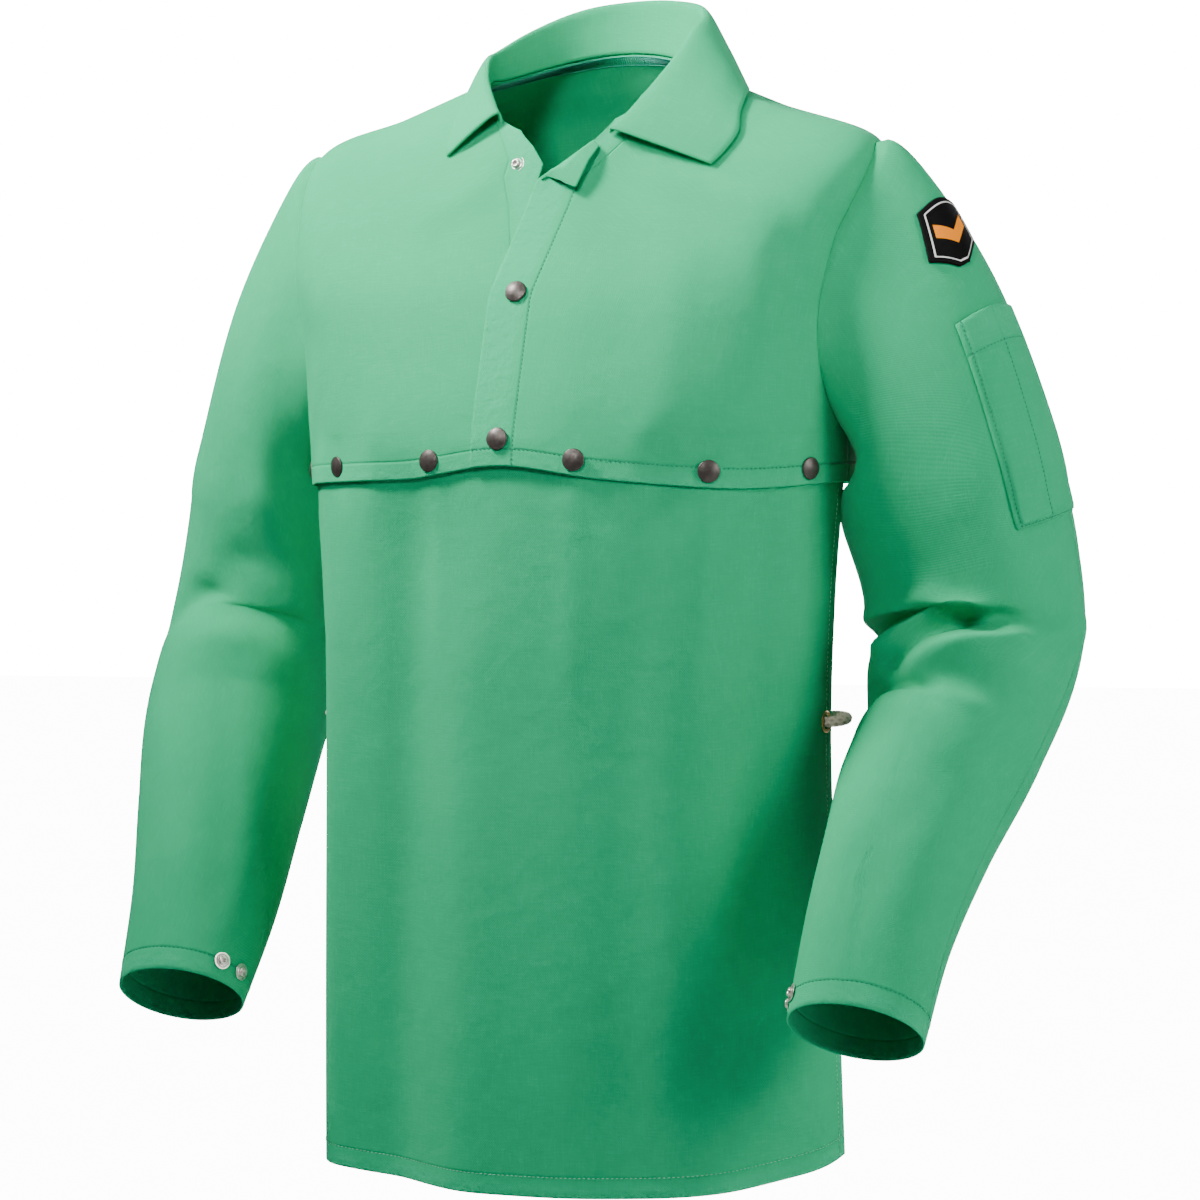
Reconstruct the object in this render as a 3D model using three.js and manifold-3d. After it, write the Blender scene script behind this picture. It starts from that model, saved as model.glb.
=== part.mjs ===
// A welder's cape with sleeves and a snap-on bib, shown as it is worn, with nobody in it.
// Millimetres, +Z up. The origin is where the cape sits on the wearer: level with the side of the
// neck, midway between the shoulders. The front faces -Y and the wearer's left is +X.

import * as THREE from 'three';
import { mergeVertices } from 'three/addons/utils/BufferGeometryUtils.js';
import Module from 'manifold-3d';

const wasm = await Module();
wasm.setup();

// Cloth and the clear spaces between layers
const cloth = 1.2;
const collarCloth = 2.0;
const layerGap = 1.3;
const seamGap = 0.4;
const panelGap = 0.9;
const seatGap = 0.45;

// Cape and bib, measured from the level of the side of the neck
const capeDrop = 270;
const bibDrop = 742;
const bibCornerRise = 19;
const bibHalfAngle = 90;
const chestHalfWidth = 196;
const chestHalfDepth = 135;
const hemLift = 8;
const hemSag = 8;

// Shoulders and neck
const shoulderHalfWidth = 208;
const shoulderSway = 9;
const shoulderDrop = 38;
const shoulderLean = 6;
const shoulderDepth = 88;
const neckHalfWidth = 74;
const neckSway = 7;
const neckHalfDepth = 62;
const neckSideRise = 12;
const neckBackRise = 38;
const neckFrontDrop = 36;
const armholeSweep = 19;

// Front opening
const overlap = 20;
const underlap = 14;
const lapelWidth = 19;
const lapelLift = 5.0;

// Sleeves
const sleeveDrop = 484;
const armholeCentreDrop = 140;
const armholeCentreOut = 205;
const upperArmHalf = 80;
const capFullness = 16;
const cuffHalfWidth = 45;
const cuffHalfDepth = 40;

// Pocket and patch on the wearer's left sleeve
const pocketWidth = 65;
const pocketLength = 120;
const patchWidth = 42;
const patchHeight = 43;

// Snaps, eyelets and the tie cord
const capDiameter = 15;
const capHeight = 3.2;
const studDiameter = 12;
const studHeight = 3;
const eyeletOuter = 15;
const eyeletHole = 9.8;
const eyeletWall = 0.9;
const eyeletInset = 11;
const tieDiameter = 7.5;
const tieKnotDiameter = 16;
const cordGap = 0.3;

// Mesh fineness
const ringSides = 18;
const sleeveSteps = 20;
const frontColumns = 10;
const backColumns = 16;
const bibColumns = 20;
const bibRows = 12;
const collarSteps = 28;
const collarWays = 9;
const snapSides = 10;
const tieSides = 8;
const tieSteps = 62;

const up = new THREE.Vector3(0, 0, 1);
const across = new THREE.Vector3(1, 0, 0);
const toRad = THREE.MathUtils.degToRad;
const smooth = (low, high, x) => THREE.MathUtils.smoothstep(x, low, high);
const mix = THREE.MathUtils.lerp;
const power = (x, p) => Math.sign(x) * Math.abs(x) ** p;

// The row at a fractional place in a table, on a smooth curve through its rows.
function rowAt(rows, place) {
  const last = rows.length - 1;
  const i = Math.min(Math.max(Math.floor(place), 0), last - 1);
  const f = place - i;
  return rows[i].map((_, k) => {
    const b = rows[i][k];
    const c = rows[i + 1][k];
    const a = i > 0 ? rows[i - 1][k] : 2 * b - c;
    const d = i < last - 1 ? rows[i + 2][k] : 2 * c - b;
    return b + 0.5 * f * (c - a + f * (2 * a - 5 * b + 4 * c - d + f * (3 * (b - c) + d - a)));
  });
}

// The row whose first column holds the given value, on straight lines between the rows.
function rowFor(rows, value) {
  const last = rows.length - 1;
  let i = 0;
  while (i < last - 1 && rows[i + 1][0] < value) i += 1;
  const f = THREE.MathUtils.clamp((value - rows[i][0]) / (rows[i + 1][0] - rows[i][0]), 0, 1);
  return rows[i].map((_, k) => mix(rows[i][k], rows[i + 1][k], f));
}

// The body that the cloth hangs on, from the bib's hem up to the neck seam. Heights are shares of the
// first column, widths and depths shares of the chest's, and the last rows are shoulder and neck.
const chest = [
  // drop, side, front, back, half width, front depth, back depth, sway, squareness
  [bibDrop, -1.0, -1.0, -1.0, 0.975, 1.03, 0.93, 0.03, 2.1],
  [bibDrop, -0.81, -0.81, -0.81, 0.965, 1.01, 0.92, 0.015, 2.1],
  [bibDrop, -0.61, -0.61, -0.61, 0.955, 0.99, 0.91, 0.0, 2.1],
  [bibDrop, -0.47, -0.47, -0.47, 0.97, 0.99, 0.91, 0.0, 2.1],
  [capeDrop, -1.0, -1.0, -1.0, 1.0, 0.99, 0.92, 0.0, 2.1],
  [capeDrop, -0.84, -0.86, -0.83, 1.005, 0.95, 0.93, 0.0, 2.3],
  [capeDrop, -0.62, -0.7, -0.56, 1.02, 0.86, 0.91, 0.0, 2.6],
  [capeDrop, -0.38, -0.55, -0.3, 1.06, 0.77, 0.84, 0.0, 2.7],
].map(([drop, side, front, back, width, ahead, behind, sway, square]) => [
  drop * side, drop * front, drop * back, chestHalfWidth * width, chestHalfDepth * ahead,
  chestHalfDepth * behind, chestHalfWidth * sway, square,
]);

const bodyRows = [
  ...chest,
  [-shoulderDrop, -2.95 * shoulderDrop, -0.4 * shoulderDrop, shoulderHalfWidth, shoulderDepth,
    1.1 * shoulderDepth, shoulderSway, 2.3],
  [mix(-shoulderDrop, neckSideRise, 0.5), -2.1 * neckFrontDrop, 0.4 * neckBackRise,
    mix(shoulderHalfWidth, neckHalfWidth, 0.5), 1.18 * neckHalfDepth, 1.3 * neckHalfDepth,
    mix(shoulderSway, neckSway, 0.5), 2.1],
  [neckSideRise, -neckFrontDrop, neckBackRise, neckHalfWidth, neckHalfDepth, 1.08 * neckHalfDepth,
    neckSway, 2.0],
];

const capeHemLevel = 4;
const underarmLevel = 4.75;
const shoulderLevel = 8;
const neckLevel = 10;
const vLevel = 9.2;

// Soft folds of the body's cloth: each is a stroke in angle and level with a width and a height.
const bodyFolds = [
  // angle, level, angle, level, angle width, level width, height in cloths
  [-52, 0.0, -40, 3.4, 10, 0.8, 4.0],
  [-22, 0.0, -16, 3.4, 11, 0.8, -4.0],
  [40, 0.0, 33, 3.2, 12, 0.8, 3.5],
  [64, 0.0, 58, 3.4, 9, 0.8, -4.0],
  [150, 4.2, 165, 7.0, 12, 0.8, 4.0],
  [-150, 4.2, -165, 7.0, 12, 0.8, 4.0],
];

// How far a point of a surface is pushed out by the strokes of a fold table.
function foldHeight(folds, a, b) {
  let height = 0;
  for (const [a1, b1, a2, b2, aWidth, bWidth, cloths] of folds) {
    const da = (a2 - a1) / aWidth;
    const db = (b2 - b1) / bWidth;
    const pa = (a - a1) / aWidth;
    const pb = (b - b1) / bWidth;
    const along = THREE.MathUtils.clamp((pa * da + pb * db) / (da * da + db * db), 0, 1);
    const away = (pa - along * da) ** 2 + (pb - along * db) ** 2;
    height += cloths * cloth * Math.exp(-away);
  }
  return height;
}

// The level of the hem at an angle: lifted at the centre front and a little lower at each side.
function hemOffset(angle, level) {
  const near = 1 - smooth(0, 1.2, Math.abs(level - capeHemLevel));
  const ahead = Math.exp(-((angle / 13) ** 2));
  const side = Math.exp(-(((angle - 50) / 28) ** 2));
  return near * (hemLift * ahead - hemSag * side);
}

// A point on the body at an angle in degrees from the centre front, towards the wearer's left.
function bodyBase(angle, level) {
  const [side, front, back, width, ahead, behind, sway, square] = rowAt(bodyRows, level);
  const s = Math.sin(toRad(angle));
  const c = Math.cos(toRad(angle));
  const x = sway + width * power(s, 2 / square);
  const y = -(c > 0 ? ahead : behind) * power(c, 2 / square);
  const tilt = Math.abs(c) ** 1.5;
  const lean = shoulderLean * (x / shoulderHalfWidth) * smooth(capeHemLevel, shoulderLevel, level);
  return new THREE.Vector3(x, y, side + ((c > 0 ? front : back) - side) * tilt - lean);
}

function bodyNormal(angle, level) {
  const da = 0.5;
  const dl = 0.02;
  const alongAngle = bodyBase(angle + da, level).sub(bodyBase(angle - da, level));
  const upper = Math.min(level + dl, neckLevel);
  const alongLevel = bodyBase(angle, upper).sub(bodyBase(angle, upper - 2 * dl));
  return alongAngle.cross(alongLevel).normalize();
}

function body(angle, level, out = 0) {
  const turned = ((angle + 540) % 360) - 180;
  const height = foldHeight(bodyFolds, turned, level);
  return bodyBase(angle, level).addScaledVector(bodyNormal(angle, level), out + height);
}

// The angle at which the body's section reaches a distance across from the centre.
function angleAt(x, level) {
  const row = rowAt(bodyRows, level);
  return THREE.MathUtils.radToDeg(Math.asin(power((x - row[6]) / row[3], row[7] / 2)));
}

// Degrees that cover a distance along the body's section.
function degreesFor(distance, angle, level) {
  return distance / bodyBase(angle + 0.5, level).distanceTo(bodyBase(angle - 0.5, level));
}

// Where the armhole's edge runs, as a share of the way from the underarm up to the shoulder.
const armholeLevel = (share) => mix(underarmLevel, shoulderLevel, share);
const armholeTurn = (share) => armholeSweep * Math.sin(Math.PI * share) ** 0.6;
const armholeShares = Array.from({ length: ringSides / 2 + 1 },
  (_, j) => (1 - Math.cos((2 * Math.PI * j) / ringSides)) / 2);

// A wall of cloth on a grid of points: rows by columns, between two heights over the grid.
function clothWall(grid, low, high, { around = false, edgeNormals = null } = {}) {
  const rows = grid.length;
  const columns = grid[0].length;
  const wrap = (j) => (around ? (j + columns) % columns : THREE.MathUtils.clamp(j, 0, columns - 1));
  const points = [];
  for (const height of [low, high]) {
    for (let i = 0; i < rows; i += 1) {
      for (let j = 0; j < columns; j += 1) {
        const alongRow = grid[i][wrap(j + 1)].clone().sub(grid[i][wrap(j - 1)]);
        const nextRow = grid[Math.min(i + 1, rows - 1)][j];
        const alongColumn = nextRow.clone().sub(grid[Math.max(i - 1, 0)][j]);
        const normal = alongRow.cross(alongColumn).normalize();
        if (edgeNormals && i === 0) normal.copy(edgeNormals[j]);
        points.push(grid[i][j].clone().addScaledVector(normal, height));
      }
    }
  }
  const inner = (i, j) => i * columns + wrap(j);
  const outer = (i, j) => rows * columns + inner(i, j);
  const index = [];
  const quad = (a, b, c, d) => index.push(a, b, c, a, c, d);
  const spans = around ? columns : columns - 1;
  for (let i = 0; i < rows - 1; i += 1) {
    for (let j = 0; j < spans; j += 1) {
      quad(outer(i, j), outer(i, j + 1), outer(i + 1, j + 1), outer(i + 1, j));
      quad(inner(i, j), inner(i + 1, j), inner(i + 1, j + 1), inner(i, j + 1));
    }
  }
  for (let j = 0; j < spans; j += 1) {
    quad(inner(0, j), inner(0, j + 1), outer(0, j + 1), outer(0, j));
    quad(inner(rows - 1, j + 1), inner(rows - 1, j), outer(rows - 1, j), outer(rows - 1, j + 1));
  }
  if (!around) {
    for (let i = 0; i < rows - 1; i += 1) {
      quad(inner(i + 1, 0), inner(i, 0), outer(i, 0), outer(i + 1, 0));
      const end = columns - 1;
      quad(inner(i, end), inner(i + 1, end), outer(i + 1, end), outer(i, end));
    }
  }
  const geometry = new THREE.BufferGeometry();
  geometry.setAttribute('position', new THREE.Float32BufferAttribute(
    points.flatMap((p) => [p.x, p.y, p.z]), 3));
  geometry.setIndex(index);
  return geometry;
}

// Joins and cuts of closed meshes
function toSolid(geometry) {
  const bare = geometry.clone();
  bare.deleteAttribute('normal');
  bare.deleteAttribute('uv');
  const merged = mergeVertices(bare, 1e-4);
  return new wasm.Manifold(new wasm.Mesh({
    numProp: 3,
    vertProperties: new Float32Array(merged.attributes.position.array),
    triVerts: new Uint32Array(merged.index.array),
  }));
}

function toGeometry(solid) {
  const mesh = solid.getMesh();
  const geometry = new THREE.BufferGeometry();
  geometry.setAttribute('position', new THREE.BufferAttribute(mesh.vertProperties, 3));
  geometry.setIndex(new THREE.BufferAttribute(mesh.triVerts, 1));
  return geometry;
}

const steps = (from, to, count) => Array.from({ length: count + 1 }, (_, i) => mix(from, to, i / count));

// The levels of a cape panel's rows: hem to underarm, along the armhole, shoulder to neck.
const panelLevels = [
  ...steps(capeHemLevel, underarmLevel, 3).slice(0, -1),
  ...armholeShares.map(armholeLevel),
  ...steps(shoulderLevel, neckLevel, 6).slice(1),
];

// How far the armhole's edge stands back from the side seam at a level.
function armholeAt(level) {
  const share = (level - underarmLevel) / (shoulderLevel - underarmLevel);
  return share > 0 && share < 1 ? armholeTurn(share) : 0;
}

function seamInset(level) {
  return armholeAt(level) > 0 ? 0 : degreesFor(seamGap / 2, 90, level);
}

function hemmed(angle, level, out) {
  const point = body(angle, level, out);
  point.z += hemOffset(angle, level);
  return point;
}

function capeBack() {
  const grid = panelLevels.map((level) => {
    const edge = 90 + armholeAt(level) + seamInset(level);
    return steps(edge, 360 - edge, backColumns).map((angle) => hemmed(angle, level));
  });
  return clothWall(grid, -cloth, 0);
}

// Distance across of each front's free edge: the left's lies over the right's below the V.
const leftEdge = [
  // level, distance across as a share of the neck's half width
  [capeHemLevel, -overlap / neckHalfWidth],
  [7.0, -overlap / neckHalfWidth],
  [8.0, -0.15],
  [vLevel, 0.0],
  [9.4, 0.15],
  [9.75, 0.45],
  [neckLevel, 0.66],
];

const rightEdge = [
  [capeHemLevel, underlap / neckHalfWidth],
  [8.0, underlap / neckHalfWidth],
  [8.7, 0.1],
  [vLevel, 0.0],
  [9.5, 0.03],
  [9.8, -0.1],
  [neckLevel, -0.26],
];

const edgeAngle = (rows, level) => angleAt(neckHalfWidth * rowFor(rows, level)[1], level);

// The left front's lift over the right front's underlap.
function leftLift(angle, level) {
  const clear = angleAt(underlap, level);
  return (cloth + layerGap) * (1 - smooth(clear + 4, clear + 16, angle));
}

const frontSpread = (f) => f ** 1.15;

function frontGrid(side, rows, lift) {
  return panelLevels.map((level) => {
    const armhole = 90 - armholeAt(level) - seamInset(level);
    const centre = edgeAngle(rows, level);
    return steps(0, 1, frontColumns).map((f) => {
      const angle = mix(centre, side * armhole, frontSpread(f));
      return hemmed(angle, level, lift(angle, level));
    });
  });
}

// The corner of the left front that is turned out below the collar: its width along the roll line.
const lapelRows = [
  // share of the roll from the V up to the collar, width as a share of the lapel's width
  [0.0, 0.06],
  [0.14, 0.1],
  [0.45, 1.0],
  [0.8, 0.5],
  [1.0, 0.3],
];

function lapel() {
  const count = 8;
  const roll = steps(0, 1, count).map((f) => {
    const level = mix(vLevel + 0.03, neckLevel - 0.22, f);
    const angle = edgeAngle(leftEdge, level) + 0.6;
    const normal = bodyNormal(angle, level);
    return { point: body(angle, level, leftLift(angle, level)), normal, f };
  });
  const grid = steps(1, 0, 4).map((reach) => roll.map(({ point, normal, f }, k) => {
    const next = roll[Math.min(k + 1, count)].point;
    const along = next.clone().sub(roll[Math.max(k - 1, 0)].point).normalize();
    const away = normal.clone().cross(along).negate().normalize();
    const width = lapelWidth * rowFor(lapelRows, f)[1];
    const open = smooth(0, 0.3, reach) * Math.min(1, 1.6 * width / lapelWidth);
    const lift = mix(-0.6 * cloth, lapelLift, open);
    return point.clone().addScaledVector(away, width * reach).addScaledVector(normal, lift);
  }));
  return clothWall(grid, 0, cloth);
}

function capeFrontLeft() {
  const front = toSolid(clothWall(frontGrid(1, leftEdge, leftLift), -cloth, 0));
  return toGeometry(front.add(toSolid(lapel())));
}

function capeFrontRight() {
  const grid = frontGrid(-1, rightEdge, () => 0).map((row) => row.reverse());
  return clothWall(grid, -cloth, 0);
}

// The bib: a plain panel tucked under the cape's hem, its lower corners cut a little higher.
const bibTuckLevel = 4.8;
const bibLevels = [...steps(0, capeHemLevel, bibRows), mix(capeHemLevel, bibTuckLevel, 0.5), bibTuckLevel];

function bibPoint(angle, level) {
  const point = body(angle, level, -(cloth + layerGap));
  point.z += hemOffset(angle, level);
  const low = (1 - level / capeHemLevel) ** 3;
  point.z += level < capeHemLevel ? bibCornerRise * low * (angle / bibHalfAngle) ** 2 : 0;
  return point;
}

// The eyelet's place on the bib: a level at its height, and an angle that far in from the edge.
const eyeletLevel = 2.15;
const eyeletAngle = bibHalfAngle - degreesFor(eyeletInset, bibHalfAngle, eyeletLevel);

function bibNormal(angle, level) {
  const alongAngle = bibPoint(angle + 0.5, level).sub(bibPoint(angle - 0.5, level));
  const alongLevel = bibPoint(angle, level + 0.02).sub(bibPoint(angle, level - 0.02));
  return alongAngle.cross(alongLevel).normalize();
}

function bib() {
  const angles = steps(-bibHalfAngle, bibHalfAngle, bibColumns);
  const grid = bibLevels.map((level) => angles.map((angle) => bibPoint(angle, level)));
  let solid = toSolid(clothWall(grid, -cloth, 0));
  for (const side of [-1, 1]) {
    const hole = new THREE.CylinderGeometry(eyeletHole / 2 + eyeletWall + seatGap,
      eyeletHole / 2 + eyeletWall + seatGap, 12 * cloth, snapSides);
    place(hole, bibPoint(side * eyeletAngle, eyeletLevel), bibNormal(side * eyeletAngle, eyeletLevel));
    solid = solid.subtract(toSolid(hole));
  }
  return toGeometry(solid);
}

// Turns a piece made about +Y so that it stands on a surface, and sets it there.
function place(geometry, point, normal) {
  const turn = new THREE.Quaternion().setFromUnitVectors(new THREE.Vector3(0, 1, 0), normal);
  geometry.applyQuaternion(turn);
  geometry.translate(point.x, point.y, point.z);
  return geometry;
}

// Sleeves: the line of each arm from its armhole's centre to its cuff, outwards from the middle.
const armRows = [
  // left: out and back, right: out and back, and down, all as shares of the sleeve's drop
  [0.0, 0.0, 0.0, 0.0, 0.0],
  [0.07, 0.032, 0.07, 0.053, 0.127],
  [0.099, 0.066, 0.097, 0.093, 0.254],
  [0.128, 0.09, 0.132, 0.107, 0.381],
  [0.146, 0.085, 0.154, 0.094, 0.487],
  [0.132, 0.012, 0.152, 0.012, 0.614],
  [0.105, -0.078, 0.127, -0.079, 0.742],
  [0.088, -0.168, 0.101, -0.168, 0.869],
  [0.084, -0.255, 0.09, -0.254, 1.0],
];

function armLine(side) {
  return new THREE.CatmullRomCurve3(armRows.map((row) => {
    const [out, back] = side > 0 ? row : row.slice(2);
    return new THREE.Vector3(armholeCentreOut + sleeveDrop * out, sleeveDrop * back,
      -armholeCentreDrop - sleeveDrop * row[4]);
  }));
}

const armPaths = { 1: armLine(1), [-1]: armLine(-1) };

const sleeveGirth = [
  // left's half width, right's half width and half depth, as shares of the upper arm's half width
  [1.0, 1.0, 1.0],
  [1.02, 1.0, 0.98],
  [0.98, 0.96, 0.92],
  [0.93, 0.9, 0.88],
  [0.84, 0.86, 0.85],
  [0.75, 0.82, 0.8],
  [0.66, 0.73, 0.73],
  [0.59, 0.64, 0.64],
  [cuffHalfWidth / upperArmHalf, cuffHalfWidth / upperArmHalf, cuffHalfDepth / upperArmHalf],
];

function girthAt(side, share) {
  const [left, right, depth] = rowAt(sleeveGirth, share * (sleeveGirth.length - 1));
  return [side > 0 ? left : right, depth];
}

// Folds of the sleeves round the elbow: share of the length, turn from the outside, widths, height.
const sleeveFolds = {
  1: [
    // turn, share, turn, share, turn width, share width, height in cloths
    [150, 0.42, 95, 0.44, 26, 0.03, 5.0],
    [170, 0.49, 60, 0.5, 30, 0.022, -6.0],
    [130, 0.55, 45, 0.53, 28, 0.025, 5.0],
    [150, 0.6, 70, 0.585, 26, 0.022, -4.0],
    [60, 0.36, 40, 0.1, 22, 0.06, 2.5],
  ],
  [-1]: [
    [85, 0.1, 140, 0.45, 16, 0.08, 3.0],
    [125, 0.12, 165, 0.4, 18, 0.07, -3.0],
    [150, 0.5, 80, 0.47, 24, 0.03, -4.0],
    [130, 0.56, 75, 0.53, 26, 0.03, 3.0],
  ],
};

const sleeveBlend = 0.3;

// The armhole's edge at a turn: 0 is the shoulder, 90 the front, 180 the underarm, 270 the back.
function armholeEdge(side, turn) {
  const share = THREE.MathUtils.clamp((1 + Math.cos(toRad(turn))) / 2, 0, 1);
  const ahead = Math.sin(toRad(turn)) > 0 ? -1 : 1;
  return [side * (90 + ahead * armholeTurn(share)), armholeLevel(share)];
}

// A point on a sleeve's outside: a turn in degrees from the outside over the front, and a share of
// its length from the armhole. The first ring follows the armhole and blends into a round sleeve.
function sleevePoint(side, turn, share) {
  const centre = armPaths[side].getPointAt(share);
  const along = armPaths[side].getTangentAt(share);
  const outward = across.clone().addScaledVector(along, -across.dot(along)).normalize();
  const ahead = along.clone().cross(outward).normalize();
  const [width, depth] = girthAt(side, share);
  const folds = foldHeight(sleeveFolds[side], turn > 270 ? turn - 360 : turn, share);
  const cap = capFullness * Math.sin(Math.PI * Math.min(share / sleeveBlend, 1) ** 0.42);
  const tube = centre.clone()
    .addScaledVector(outward, (upperArmHalf * width + folds) * Math.cos(toRad(turn)))
    .addScaledVector(ahead, (upperArmHalf * depth + folds) * Math.sin(toRad(turn)));
  const hung = body(...armholeEdge(side, turn));
  hung.x *= side;
  const start = armPaths[side].getPointAt(0);
  hung.addScaledVector(hung.clone().sub(start).setX(0).normalize(), -seamGap);
  hung.add(centre).sub(start);
  const point = hung.lerp(tube, smooth(0, sleeveBlend, share));
  point.addScaledVector(outward, cap * Math.max(Math.cos(toRad(turn)), 0));
  point.x *= side;
  return point;
}

function sleeveNormal(side, turn, share) {
  const alongTurn = sleevePoint(side, turn + 2, share).sub(sleevePoint(side, turn - 2, share));
  const low = Math.max(share - 0.005, 0);
  const alongShare = sleevePoint(side, turn, low + 0.01).sub(sleevePoint(side, turn, low));
  return alongTurn.cross(alongShare).normalize().multiplyScalar(side);
}

function sleeve(side) {
  const turns = Array.from({ length: ringSides }, (_, j) => (360 * j) / ringSides);
  const shares = steps(0, 1, sleeveSteps).map((f) => f ** 1.15);
  const grid = shares.map((share) => turns.map((turn) => sleevePoint(side, turn, share)));
  const edgeNormals = turns.map((turn) => bodyNormal(...armholeEdge(side, turn)));
  if (side < 0) {
    grid.forEach((row) => row.reverse());
    edgeNormals.reverse();
  }
  return clothWall(grid, -cloth, 0, { around: true, edgeNormals });
}

// A panel of cloth sewn on the left sleeve about a seat, its width a share that changes down its length.
function sleevePanel({ turn, share, lean, skews, lift }, width, length, rows, columns, widthShare) {
  const gap = (turnStep, shareStep) => sleevePoint(1, turn + turnStep, share + shareStep)
    .distanceTo(sleevePoint(1, turn - turnStep, share - shareStep));
  const degreesPerLength = 2 / gap(1, 0);
  const sharePerLength = 0.01 / gap(0, 0.005);
  const grid = steps(1, 0, rows).map((down) => steps(1, -1, columns).map((f) => {
    const across = f * widthShare(down);
    const acrossTurn = turn + lean * (down - 0.5) + across * width / 2 * degreesPerLength;
    const alongShare = share + (down - 0.5) * length * sharePerLength - across * mix(...skews, down) / 2;
    return sleevePoint(1, acrossTurn, alongShare);
  }));
  return clothWall(grid, lift, lift + cloth);
}

// The collar: a stand that rises from the neck seam, rolls over and falls as a leaf on the shoulders.
const collarRows = [
  // base angle and level, fold's rise and lean, leaf edge's angle and level, leaf's stand-off
  [-33, 9.94, 0.08, 0.03, -40, 9.2, 2.4],
  [-48, 10, 0.1, 0.02, -55, 9.56, 2.4],
  [-68, 10, 0.16, 0.01, -74, 9.78, 2.4],
  [-92, 10, 0.24, 0.02, -97, 9.8, 2.4],
  [-122, 10, 0.37, 0.03, -124, 9.68, 2.4],
  [-152, 10, 0.46, 0.04, -153, 9.56, 2.4],
  [-180, 10, 0.49, 0.06, -180, 9.52, 2.4],
  [-208, 10, 0.52, 0.07, -207, 9.5, 2.4],
  [-238, 10, 0.54, 0.08, -236, 9.46, 2.4],
  [-264, 10, 0.46, 0.08, -266, 9.4, 2.4],
  [-288, 10, 0.24, 0.06, -288, 9.22, 2.4],
  [-308, 9.98, 0.09, 0.04, -301, 8.97, 2.4],
  [-333, 9.78, 0.03, 0.04, -316, 8.78, 2.4],
];

function collarPoint(place, way) {
  const [angle, level, rise, lean, leafAngle, leafLevel, standOff] = rowAt(collarRows, place);
  const base = body(angle, level);
  const outward = base.clone().setX(base.x - neckSway).setZ(0).normalize();
  base.addScaledVector(up, seamGap + 0.4 * collarCloth).addScaledVector(outward, -0.4 * collarCloth);
  const below = smooth(0, 0.06, neckLevel - level);
  base.addScaledVector(bodyNormal(angle, level), (collarCloth / 2 + layerGap) * below);
  const fold = base.clone().addScaledVector(up, neckHalfWidth * rise)
    .addScaledVector(outward, neckHalfWidth * lean);
  const edge = body(leafAngle, leafLevel, standOff);
  const crown = fold.clone().addScaledVector(outward, 1.5 * collarCloth).addScaledVector(up, -0.3);
  const leaf = crown.clone().lerp(edge, 0.5).addScaledVector(outward, 0.8 * collarCloth);
  const curve = new THREE.CatmullRomCurve3(
    [base, base.clone().lerp(fold, 0.6).addScaledVector(outward, -0.3), fold, crown, leaf, edge],
    false, 'centripetal');
  return curve.getPoint(way);
}

function collar() {
  const places = steps(0, collarRows.length - 1, collarSteps);
  const ways = steps(0, 1, collarWays);
  const grid = ways.map((way) => places.map((place) => collarPoint(place, way)));
  return clothWall(grid.map((row) => row.reverse()), -collarCloth / 2, collarCloth / 2);
}

// Snap caps are domed discs, snap studs are flanges with a post, eyelets are rings with a barrel.
function revolve(profile, sides = snapSides) {
  return new THREE.LatheGeometry(profile.map(([r, h]) => new THREE.Vector2(r, h)), sides);
}

function snapCap() {
  const r = capDiameter / 2;
  return revolve([[0, 0], [r, 0], [r, 0.35 * capHeight], [0.8 * r, 0.8 * capHeight], [0, capHeight]]);
}

function snapStud() {
  const r = studDiameter / 2;
  return revolve([[0, 0], [r, 0], [r, 0.3 * studHeight], [0.5 * r, 0.4 * studHeight],
    [0.45 * r, studHeight], [0, studHeight]]);
}

function eyelet() {
  const hole = eyeletHole / 2;
  const barrel = hole + eyeletWall;
  const depth = cloth + seatGap;
  return revolve([[hole, -depth], [barrel, -depth], [barrel, seatGap], [eyeletOuter / 2, seatGap],
    [eyeletOuter / 2, seatGap + eyeletWall], [hole, seatGap + eyeletWall], [hole, -depth]]);
}

const group = new THREE.Group();

function add(name, geometry, color, roughness, metalness = 0) {
  const plain = geometry.clone();
  plain.deleteAttribute('uv');
  plain.deleteAttribute('normal');
  const merged = mergeVertices(plain, 1e-4);
  merged.computeVertexNormals();
  const material = new THREE.MeshStandardMaterial({ color, roughness, metalness });
  const mesh = new THREE.Mesh(merged, material);
  mesh.name = name;
  group.add(mesh);
}

const green = 0x52b788;
const pewter = 0x4c4642;
const steel = 0xb9b4aa;
const brass = 0xb98a4a;
const black = 0x151515;
const natural = 0xd8ccb0;

add('cape_back', capeBack(), green, 0.85);
add('cape_front_left', capeFrontLeft(), green, 0.85);
add('cape_front_right', capeFrontRight(), green, 0.85);
add('sleeve_left', sleeve(1), green, 0.85);
add('sleeve_right', sleeve(-1), green, 0.85);
add('collar', collar(), green, 0.85);
add('bib', bib(), green, 0.85);

// Pocket and patch: each has its middle at a turn and a share of the sleeve's length, leans round the
// sleeve by some degrees down its length, has its front edge higher by the skews at top and bottom,
// and stands off the sleeve by its lift.
const pocketSeat = { turn: 19, share: 0.242, lean: 0, skews: [0.015, 0.0], lift: panelGap };
const patchSeat = { turn: 21, share: 0.097, lean: 10, skews: [0.02, 0.016], lift: panelGap };
const shieldSides = 0.7;
const shieldTip = 0.2;
const shieldWidth = (down) => mix(1, shieldTip, Math.max(down - shieldSides, 0) / (1 - shieldSides));
add('sleeve_pocket', sleevePanel(pocketSeat, pocketWidth, pocketLength, 8, 5, () => 1), green, 0.85);
add('sleeve_patch', sleevePanel(patchSeat, patchWidth, patchHeight, 10, 6, shieldWidth), black, 0.8);

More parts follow.
